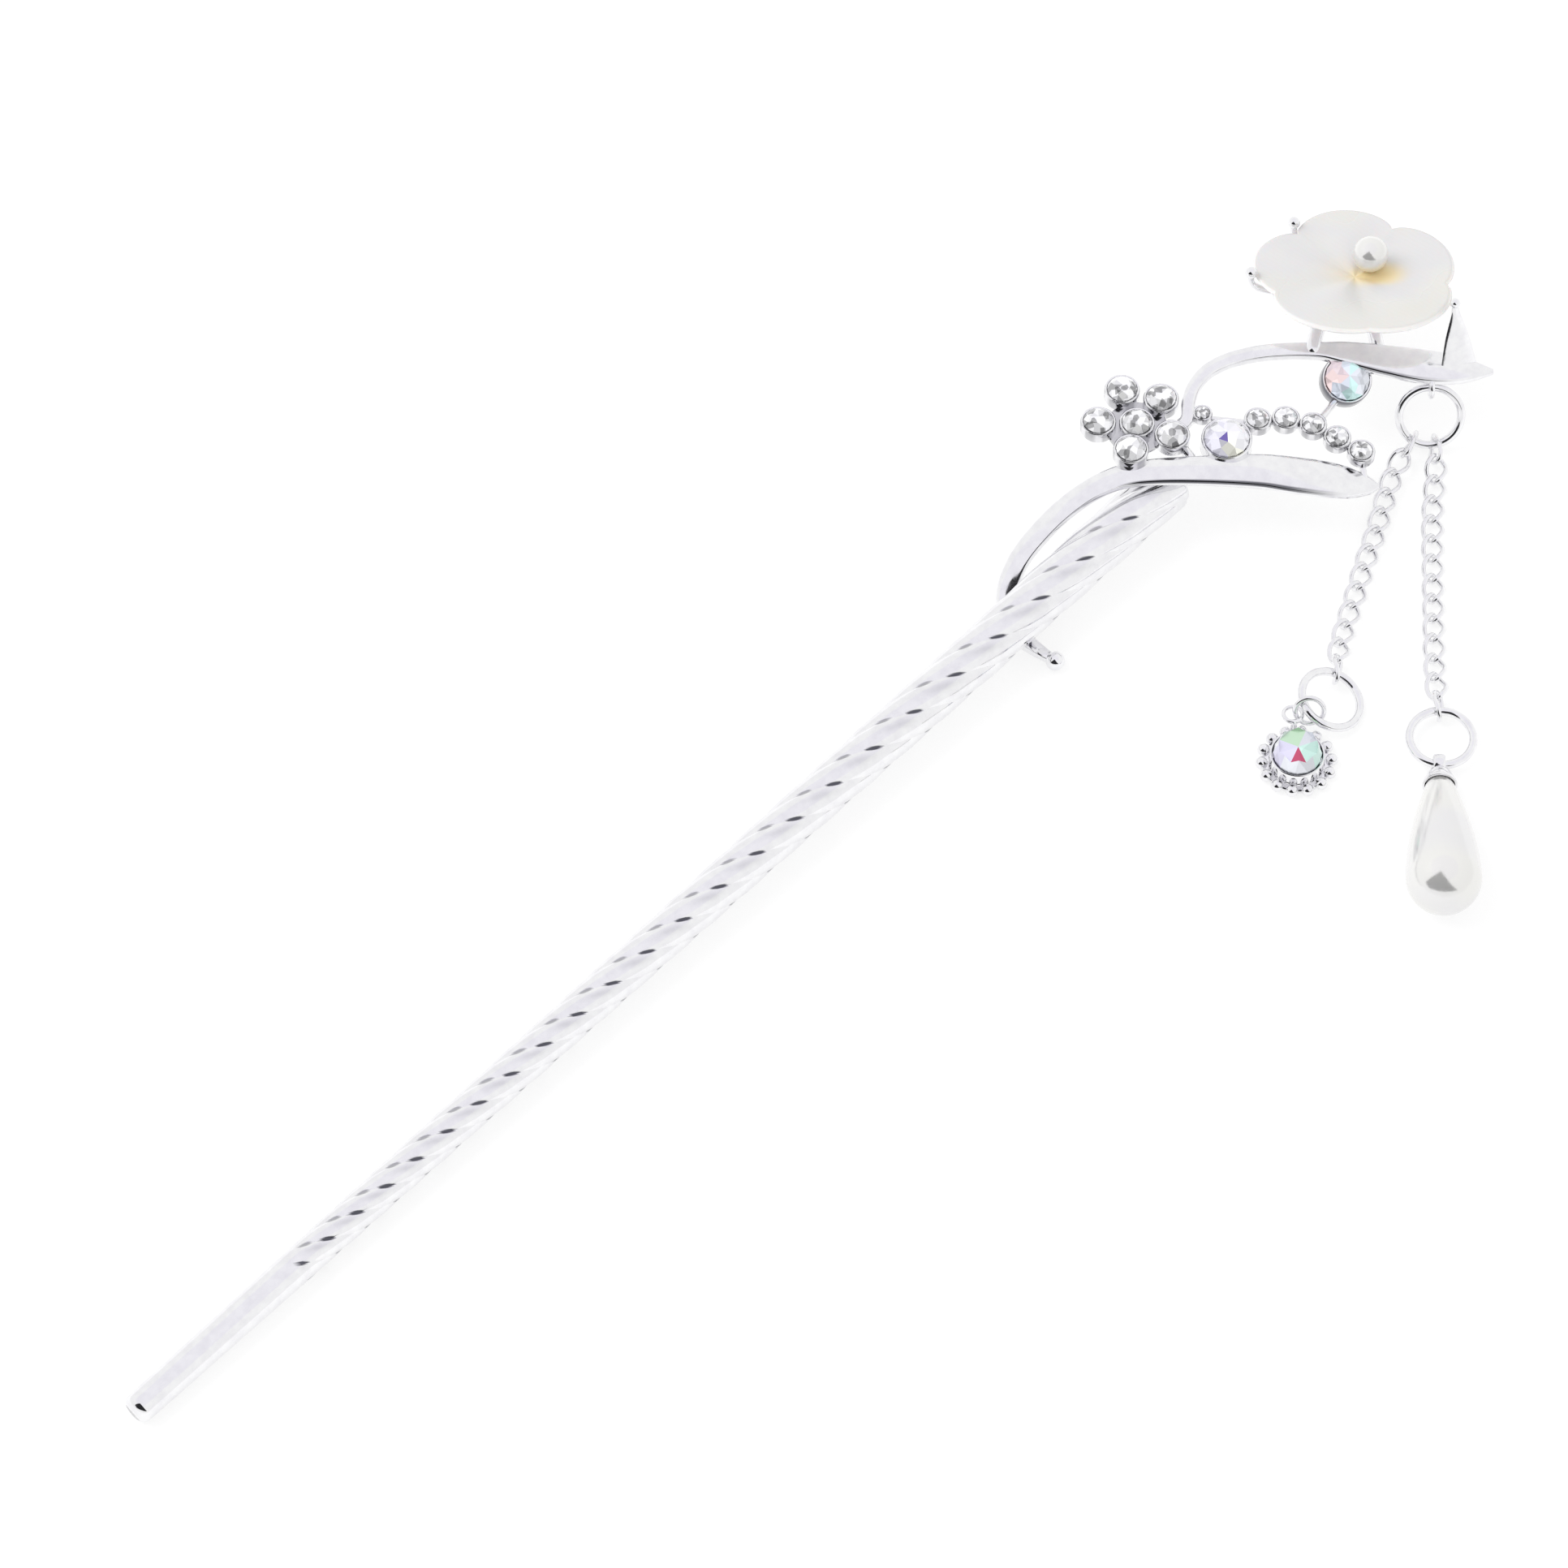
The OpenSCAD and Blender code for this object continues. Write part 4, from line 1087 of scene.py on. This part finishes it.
    def calyx(self) -> Skin:
        """Plate, arms with balls, side leaf and the bars that hold them, in the flower's frame."""
        plate = [(0, -3.3), (2.9, -3.3), (3.2, -3.15), (3.2, -2.65), (3.0, -2.5), (0, -2.5)]
        parts = [Skin.lathe(plate, 48)]
        shape = np.array(self.arm_shape)
        for angle, reach in self.arms:
            rows = polar(shape[:, 0] * reach, math.radians(angle), *shape[:, 1:].T)
            parts.append(Skin.sweep(rows, self.round_section(), 6))
            at = tuple(rows[-1, :3] + [0, 0, 0.2])
            parts.append(Skin.ball(self.arm_ball, 20).placed(Place(at)))
        bars = [
            ((-4.7, -8.1, -4.35), (-4, -5.6, -2.9), 1.6),
            ((-4, -5.6, -2.9), (-1, -1.5, -3.1), 1.3),
            ((2.3, -7.2, -5.3), (1.6, -5, -3.2), 1.5),
            ((1.6, -5, -3.2), (0.5, -1.5, -3.1), 1.4),
        ]
        parts += [Skin.rod(a, b, d) for a, b, d in bars]
        foot, tip = np.array([10.6, -8.6, -6.35]), np.array([9.9, -6.9, 0.75])
        shares = ((0, 4.2, 0.4), (0.45, 2.8, 0.36), (0.8, 1.2, 0.34), (1, 0.6, 0.45))
        rows = [(*(foot + (tip - foot) * t), w, h) for t, w, h in shares]
        parts.append(Skin.sweep(rows, self.round_section(), 8))
        parts.append(Skin.ball(self.arm_ball - 0.2, 20).placed(Place(tuple(tip))))
        return Skin.join(parts).placed(self.flower)

    def loop(self) -> Skin:
        """Loop at the top of the top ring, standing across it."""
        top = TOP_RING_PLACE.put(np.array([[0.0, self.ring_radius, 0.0]]))[0]
        return Skin.ring(0.6, 2.6, 48, 16).placed(Place(tuple(top), -SIDE_TURN, 90.0))

    def build(self, stones: list[Stone]) -> None:
        """Makes the casting: leaves, cups with their bars, calyx and loop."""
        cups = Skin.join([s.cup() for s in stones] + [self.cup_bars(stones)])
        for name, skin in (
            ("leaf_casting", self.leaves()),
            ("stone_cups", cups),
            ("calyx", self.calyx()),
            ("leaf_loop", self.loop()),
        ):
            make_piece(name, skin, PLATE, ["spray"])


# Flower


@dataclass
class Flower:
    """Shell flower of five petals round a hollow, with its pearl."""

    place: Place = FLOWER_PLACE
    radius: float = 10.75
    petals: int = 5
    first: float = 95.0
    notch: float = 0.24
    dip: float = 1.0
    middle_thick: float = 1.3
    rim_thick: float = 0.7
    # Share of the reach from where the rim is rounded
    rim_from: float = 0.965
    crown: float = 0.45
    crease: float = 0.03
    pearl_d: float = 3.8
    pearl_at: Point = (1.6, 1.0, 1.2)

    def wave(self, angle: np.ndarray) -> np.ndarray:
        """1 in the middle of a petal and 0 in a notch: a cosine without its sign."""
        return np.abs(np.cos(np.radians(self.petals / 2 * (angle - self.first))))

    def reach(self, angle: np.ndarray) -> np.ndarray:
        """Radius of the outline: notches deepest at the far side, near right petal longer."""
        part = 0.65 + 0.35 * np.cos(np.radians(angle - 100))
        swell = 0.06 * np.maximum(0, np.cos(np.radians(angle - 315))) ** 6
        return self.radius * (1 + swell - self.notch * part * (1 - self.wave(angle) ** 0.55))

    def top(self, angle: np.ndarray, share: np.ndarray) -> np.ndarray:
        """Height of the upper side: a dish, a crown on each petal, a crease in each notch."""
        wave = self.wave(angle)
        crease = np.exp(-((wave / 0.16) ** 2)) * smooth((share - 0.22) / 0.4)
        crown = self.crown * wave**2 * np.sin(np.pi * np.minimum(share, 1))
        return self.dip * (share**1.6 - 1) + crown - self.crease * crease

    def skin(self) -> Skin:
        """Upper side, rounded rim and lower side as one grid of angle and share of the reach."""
        angle = np.linspace(0, 360, 260, endpoint=False)[None, :]
        share = np.linspace(0.02, 1, 34)[:, None]
        reach = self.reach(angle)
        top = self.top(angle, share)
        thick = self.middle_thick + (self.rim_thick - self.middle_thick) * share
        base = top * 0.9 - thick
        rim = 1 - self.rim_from
        edge = np.sqrt(np.clip(1 - ((share - self.rim_from) / rim) ** 2, 0, 1))
        edge = np.where(share > self.rim_from, edge, 1.0)
        middle = (top + base) / 2
        upper = middle + (top - middle) * edge
        lower = middle + (base - middle) * edge
        under, over = (polar(reach * share, np.radians(angle), z) for z in (lower, upper))
        skin = Skin.grid(np.concatenate([under, over[::-1][1:]]))
        px, py = skin.points[:, 0], skin.points[:, 1]
        dx, dy = px - self.pearl_at[0], py - self.pearl_at[1]
        patch = np.exp(-((((dx - 0.7) / 2.8) ** 2 + ((dy + 1.0) / 1.8) ** 2) ** 2))
        haze = 0.3 * np.exp(-(((px + 1.4) / 1.9) ** 2) - ((py - 0.4) / 2.2) ** 2)
        skin.values["amber"] = np.clip(patch + haze, 0, 1)
        # Marks the underside for its lighter colour of painted light
        back = np.arange(len(skin.points)) < len(share) * angle.size
        skin.values["back"] = back.astype(float)
        return skin.placed(self.place)

    def build(self) -> None:
        """Makes the flower and its pearl."""
        make_piece("carved_flower", self.skin(), NACRE, ["shell_flower"], Shading.SMOOTH)
        pearl = Skin.ball(self.pearl_d, 64).placed(Place(self.pearl_at)).placed(self.place)
        make_piece("middle_pearl", pearl, PEARL, ["flower_pearl"], Shading.SMOOTH)


# Rings and chains


@dataclass
class RingsAndChains:
    """Three large jump rings, the small one and the two chains between them."""

    ring_d: float = 7.4
    wire: float = 0.9
    top: Place = TOP_RING_PLACE
    left: Place = Place((-7.14, -28.59, 1.68), -SIDE_TURN, 20.8, 2.8)
    right: Place = Place((-2.6, -39.6, 1.25), -SIDE_TURN)
    small: Place = Place((-10.06, -28.20, 2.40), -SIDE_TURN, -4.4, 63.6)
    small_d: float = 3.5
    small_wire: float = 0.55
    link_length: float = 3.7
    link_width: float = 2.5
    link_wire: float = 0.5
    pitch: float = 2.4
    lie_roll: float = 50.0
    hook_roll: float = 90.0
    hook: float = 0.6
    lie_z: float = 0.69
    hook_z: float = 1.25
    # Each row: x, y on the way from the top ring to the lower ring
    left_path: tuple[Row, ...] = (
        (22.0, -13.6), (19.6, -14.0), (16.9, -15.3), (14.4, -16.6), (11.7, -18.1), (8.8, -19.4),
        (6.0, -20.9), (3.2, -22.3), (0.3, -23.8), (-2.0, -25.1),
    )
    right_path: tuple[Row, ...] = (
        (22.6, -17.0), (20.6, -18.5), (17.4, -21.0), (12.9, -25.0), (8.4, -29.0), (3.9, -33.1),
        (1.8, -35.1),
    )

    def point_on(self, place: Place, angle: float) -> np.ndarray:
        """Point on the middle of a ring's wire, by its angle in the ring's own plane."""
        r = (self.ring_d - self.wire) / 2
        return place.put(polar(r, math.radians(angle), 0.0)[None])[0]

    def joints(self, start: np.ndarray, rows: tuple[Row, ...], finish: np.ndarray) -> np.ndarray:
        """Where links meet: even steps along a smooth path that passes both rings.

        Args:
            start: point on the first ring.
            rows: stations of the path in plan.
            finish: point on the last ring.

        Returns:
            One row more than there are links.
        """
        over = self.pitch / 2 - self.hook
        path = np.array(rows, float)
        first = start[:2] + unit(start[:2] - path[0]) * over
        final = finish[:2] + unit(finish[:2] - path[-1]) * over
        curve = curve_rows(np.vstack([first, path, final]), 6)
        reach = np.concatenate([[0], np.cumsum(np.linalg.norm(np.diff(curve, axis=0), axis=1))])
        count = int(math.floor(reach[-1] / self.pitch + 0.5))
        s, k = np.linspace(0, reach[-1], count + 1), np.arange(count + 1)
        height = self.lie_z + self.rise(k, start[2]) + self.rise(count - k, finish[2])
        xs, ys = (np.interp(s, reach, curve[:, i]) for i in (0, 1))
        return np.stack([xs, ys, height], axis=1)

    def rise(self, links: np.ndarray, end_z: float) -> np.ndarray:
        """Height over the lying chain at a number of links from a ring."""
        hooked = (self.hook_z - self.lie_z) * np.clip((2.6 - links) / 1.6, 0, 1)
        return hooked + (end_z - self.hook_z) * np.maximum(0, 1 - links / 2)

    def links(self, joints: np.ndarray, last_roll: float) -> Skin:
        """Closed oval links of round wire.

        The wire's middle is a cosine of the half length along the chain and a sine of the half
        width across it, and it rolls about the chain from one end of the link to the other.

        Args:
            joints: where links meet.
            last_roll: roll at the far end of the last link.

        Returns:
            All the links in one skin.
        """
        p, q = joints[:-1], joints[1:]
        along = unit(q - p)
        side = unit(np.cross([0.0, 0.0, 1.0], along))
        axes = np.stack([along, side, np.cross(along, side)], axis=1)
        start, finish = np.full(len(p), -self.lie_roll), np.full(len(p), self.lie_roll)
        start[0], finish[-1] = self.hook_roll, -last_roll
        t = full_turn(30)[None, :]
        half = (finish - start)[:, None] / 2
        roll = np.radians((start + finish)[:, None] / 2 + half * np.cos(t))
        a, b = (self.link_length - self.link_wire) / 2, (self.link_width - self.link_wire) / 2
        wire = polar(b * np.sin(t), roll, a * np.cos(t))[..., [2, 0, 1]]
        run = unit(np.roll(wire, -1, axis=1) - np.roll(wire, 1, axis=1))
        out = unit(wire - run * (wire * run).sum(-1, keepdims=True))
        over = np.cross(run, out)
        k = full_turn(10)[None, None, :, None]
        radial = np.cos(k) * out[:, :, None] + np.sin(k) * over[:, :, None]
        tube = wire[:, :, None] + self.link_wire / 2 * radial
        placed = np.einsum("nskc,ncw->nskw", tube, axes) + ((p + q) / 2)[:, None, None]
        return Skin.join([Skin.grid(link, loop=True) for link in placed])

    def build(self) -> None:
        """Makes the rings and both chains."""
        large = (self.wire, self.ring_d)
        for name, node, place, *shape in (
            ("top_jump_ring", "ring_top", self.top, *large),
            ("left_jump_ring", "ring_left", self.left, *large),
            ("right_jump_ring", "ring_right", self.right, *large),
            ("small_jump_ring", "pendant_link", self.small, self.small_wire, self.small_d, 64, 16),
        ):
            make_piece(name, Skin.ring(*shape).placed(place), PLATE, [node], Shading.SMOOTH)
        # Each row: side, path, angle on the top ring, lower ring, angle on it, last link's roll
        for side, rows, start, ring, finish, roll in (
            ("left", self.left_path, -122, self.left, 78, 110.0),
            ("right", self.right_path, -80, self.right, 92, self.hook_roll),
        ):
            ends = self.point_on(self.top, start), self.point_on(ring, finish)
            chain = self.links(self.joints(ends[0], rows, ends[1]), roll)
            make_piece(f"{side}_curb_chain", chain, PLATE, [f"chain_{side}"], Shading.SMOOTH)


# Drops


@dataclass
class Pendant:
    """Round pendant with a beaded edge, a bezel and a bail."""

    at: Point = PENDANT_AT
    bail_at: Point = (-11.31, -27.10, 1.94)
    rim_d: float = 7.2
    back: float = 0.6
    bezel_top: float = 2.2
    stone_d: float = PENDANT_STONE_D
    bead_d: float = 1.3
    beads: int = 14
    bail_d: float = 2.4
    bail_wire: float = 0.45

    def skin(self) -> Skin:
        """Plate and bezel from one profile, beads on a circle, and the bail on its stem."""
        inner = self.stone_d / 2 + CUP_GAP
        outer, floor = inner + CUP_WALL, 0.72
        edge = self.rim_d / 2 - 0.1
        profile = [
            (0, 0), (edge - 0.12, 0), (edge, 0.12), (edge, self.back - 0.12),
            (edge - 0.12, self.back), (outer + 0.06, self.back), (outer, self.back + 0.08),
            (outer, self.bezel_top - 0.14), (outer - 0.05, self.bezel_top - 0.04),
            (outer - 0.11, self.bezel_top), (inner + 0.03, self.bezel_top - 0.03),
            (inner, self.bezel_top - 0.1), (inner, floor + 0.05), (0, floor),
        ]
        way = unit(np.array(self.bail_at[:2]) - np.array(self.at[:2]))
        turn = math.degrees(math.atan2(way[1], way[0]))
        bead_turn = np.radians(turn + 360 / self.beads * (np.arange(self.beads) + 0.5))
        middles = polar(self.rim_d / 2, bead_turn, self.bead_d / 2 + 0.05)
        parts = [Skin.ball(self.bead_d, 20).placed(Place(tuple(at))) for at in middles]
        parts.insert(0, Skin.lathe(profile, 96))
        frame_skin = Skin.join(parts).placed(Place(self.at))
        way3 = np.array([way[0], way[1], 0.0])
        start = np.array(self.at) + (self.rim_d / 2 - 0.5) * way3 + [0, 0, self.back - 0.2]
        finish = np.array(self.bail_at) - (self.bail_d - self.bail_wire) / 2 * way3
        stem = Skin.rod(tuple(start), tuple(finish), 0.66)
        bail = Skin.ring(self.bail_wire, self.bail_d, 56, 14)
        return Skin.join([frame_skin, stem, bail.placed(Place(self.bail_at, -SIDE_TURN, 0, -6.2))])

    def build(self) -> None:
        """Makes the pendant's frame."""
        make_piece("beaded_pendant", self.skin(), PLATE, ["pendant_frame"])


@dataclass
class PearlDrop:
    """Pear-shaped pearl in its cap, lying on its side with the cap just over the table."""

    d: float = 7.7
    length: float = 17.8
    neck_r: float = 1.0
    turn: float = 42.0
    lean: float = 11.5
    cap_rim: float = 1.78
    cap_length: float = 1.3
    cap_wall: float = 0.22
    loop_d: float = 2.2
    loop_wall: float = 0.4
    loop_width: float = 1.2

    def __post_init__(self) -> None:
        """Works out the reach from the ball's middle to the neck and to the loop."""
        self.reach = self.length - self.d / 2
        self.cap_top = self.reach + 0.8
        self.loop_at = self.cap_top - 0.2 + self.loop_d / 2

    def place(self, ring_point: np.ndarray) -> Place:
        """Place of the ball's middle, a loop's length from a point on the right ring."""
        a = math.radians(self.turn)
        back = (self.loop_at - 0.1) * math.cos(math.radians(self.lean))
        x, y = ring_point[0] - back * math.cos(a), ring_point[1] - back * math.sin(a)
        tilt = math.radians(self.lean)
        height = (self.outline() @ np.array([math.cos(tilt), math.sin(tilt)])).max()
        return Place((x, y, height), self.turn, 90 + self.lean)

    def outline(self) -> np.ndarray:
        """Half a ball, then a radius that falls to the neck's with the way to the power 1.7."""
        r = self.d / 2
        ball = polar(r, np.linspace(-math.pi / 2, 0, 32))
        t = np.linspace(0, 1, 36)[1:]
        side = np.stack([r + (self.neck_r - r) * t**1.7, self.reach * t], axis=1)
        return np.vstack([ball, side, [[0, self.reach]]])

    def cap(self) -> Skin:
        """Bell over the neck with a rolled rim, and a band loop on its top."""
        gap, wall, rim = CUP_GAP, self.cap_wall, self.cap_rim
        low = self.reach - self.cap_length
        bell = [
            (0, self.reach + gap), (self.neck_r + gap, self.reach + gap),
            (rim - wall, low), (rim - 0.02, low), (rim, low + 0.02),
            (rim, low + 0.25), (rim - 0.06, low + 0.42), (rim - 0.12, low + 0.6),
            (self.neck_r + gap + wall + 0.08, self.reach - 0.05),
            (self.neck_r + gap + wall - 0.08, self.reach + 0.3), (0.74, self.cap_top - 0.06),
            (0.66, self.cap_top), (0, self.cap_top),
        ]
        outer, inner = self.loop_d / 2, self.loop_d / 2 - self.loop_wall
        w = self.loop_width / 2
        box = np.array([[inner, -w], [outer, -w], [outer, w], [inner, w]])
        loop = Skin.torus(cut_corners(box, 2), 56)
        loop = loop.placed(Place((0, 0, self.loop_at), lean=90.0))
        return Skin.join([Skin.lathe(bell, 56), loop])

    def build(self, ring_point: np.ndarray) -> None:
        """Makes the pearl and its cap."""
        place = self.place(ring_point)
        pearl = Skin.lathe(self.outline(), 72).placed(place)
        make_piece("pear_pearl", pearl, PEARL, ["pearl_drop"], Shading.SMOOTH)
        make_piece("drop_bell", self.cap().placed(place), PLATE, ["drop_cap"])


# Stage


@dataclass
class Stage:
    """Camera, plain pale floor and soft light from all round."""

    target: Point = (-0.055, 25.83, 3.0)
    distance: float = 700.0
    azimuth: float = -46.0
    elevation: float = 58.0
    lens: float = 159.13
    sensor: float = 36.0
    # Radius of the ceiling's disc and its height over the target
    ceiling: tuple[float, float] = (1250.0, 1500.0)
    # Distance of the front card, and how far its back leans up
    front_distance: float = 420.0
    front_lean: float = 0.6
    # Each row: degrees to the right of the camera, degrees above the table
    front: tuple[Row, ...] = (
        (-43, 12), (40, 12), (28, 34), (16, 57), (-2, 68), (-26, 76), (-44, 64), (-53, 50),
        (-61, 18),
    )
    # Colours of the ceiling and of the front card
    cool: Colour = (0.95, 0.94, 0.985)
    dark: Colour = (0.1, 0.1, 0.11)
    # In metres: radius of the floor, its height and the place of the lamp
    floor_radius: float = 6.0
    floor_z: float = -0.00003
    lamp_at: Point = (-0.5, 0.9, 1.3)

    def camera(self) -> None:
        """Makes the camera, level, looking down at the hair stick."""
        data = bpy.data.cameras.new("camera")
        data.lens, data.sensor_width = self.lens, self.sensor
        data.clip_start, data.clip_end = 0.01, 50.0
        camera = add_object("camera", data)
        back = toward(math.radians(self.azimuth), math.radians(self.elevation))
        aim(camera, (np.array(self.target) + self.distance * back) * MM, back)
        bpy.context.scene.camera = camera

    def card(self, name: str, corners: np.ndarray, colour: Colour, strength: float) -> None:
        """Flat card that only reflections see."""
        material = bpy.data.materials.new(name)
        material.use_nodes = True
        tree = material.node_tree
        tree.nodes.clear()
        glow = tree.nodes.new("ShaderNodeEmission")
        glow.inputs["Color"].default_value = (*colour, 1.0)
        glow.inputs["Strength"].default_value = strength
        output = tree.nodes.new("ShaderNodeOutputMaterial")
        tree.links.new(glow.outputs["Emission"], output.inputs["Surface"])
        card = add_sheet(name, corners * MM, material)
        card.visible_camera = card.visible_diffuse = card.visible_shadow = False
        card.visible_transmission = card.visible_volume_scatter = False

    def cards(self) -> None:
        """A pale ceiling, and a dark front round the camera that small round surfaces mirror."""
        centre, azimuth = np.array(self.target), math.radians(self.azimuth)
        radius, height = self.ceiling
        self.card("ceiling_card", centre + polar(radius, full_turn(24), height), self.cool, 1.0)
        rows = np.radians(np.array(self.front, float))
        way = toward(rows[:, 0] + azimuth, rows[:, 1])
        facing = unit(toward(azimuth, 0.0) + [0, 0, self.front_lean])
        scale = self.front_distance / (way @ facing)
        self.card("front_card", centre + way * scale[:, None], self.dark, 0.25)

    def floor(self) -> None:
        """Round pale floor just under the hair stick."""
        bench = NodeBench("pale_floor")
        bench.set(Base_Color=(0.3, 0.3, 0.3, 1.0), Roughness=0.9, Specular_IOR_Level=0.1)
        bench.set(Emission_Color=(1.0, 1.0, 1.0, 1.0), Emission_Strength=0.72)
        corners = polar(self.floor_radius, full_turn(64), self.floor_z)
        floor = add_sheet("floor", corners, bench.material)

    def light(self) -> None:
        """Even white surroundings and one broad lamp from the upper left."""
        scene = bpy.context.scene
        world = bpy.data.worlds.new("soft_room")
        world.use_nodes = True
        background = world.node_tree.nodes["Background"].inputs
        background["Color"].default_value = (1.0, 1.0, 1.0, 1.0)
        background["Strength"].default_value = 1.0
        scene.world = world
        scene.view_settings.view_transform = "Standard"
        lamp = bpy.data.lights.new("broad_lamp", "AREA")
        lamp.shape, lamp.size, lamp.energy = "DISK", 1.2, 10.0
        holder = add_object("broad_lamp", lamp)
        aim(holder, np.array(self.lamp_at), unit(np.array(self.lamp_at)))
        holder.visible_glossy = False

    def build(self) -> None:
        """Sets the stage."""
        self.camera()
        self.floor()
        self.light()
        self.cards()


def main() -> None:
    """Builds every sub-assembly in order."""
    logging.basicConfig(level=logging.INFO, format="%(message)s")
    Stage().build()
    Shank().build()
    stones = StoneSet()
    Spray().build(stones.spray_stones())
    stones.build()
    Flower().build()
    rings = RingsAndChains()
    rings.build()
    Pendant().build()
    PearlDrop().build(rings.point_on(rings.right, -97))
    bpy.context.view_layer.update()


if __name__ == "__main__":
    main()
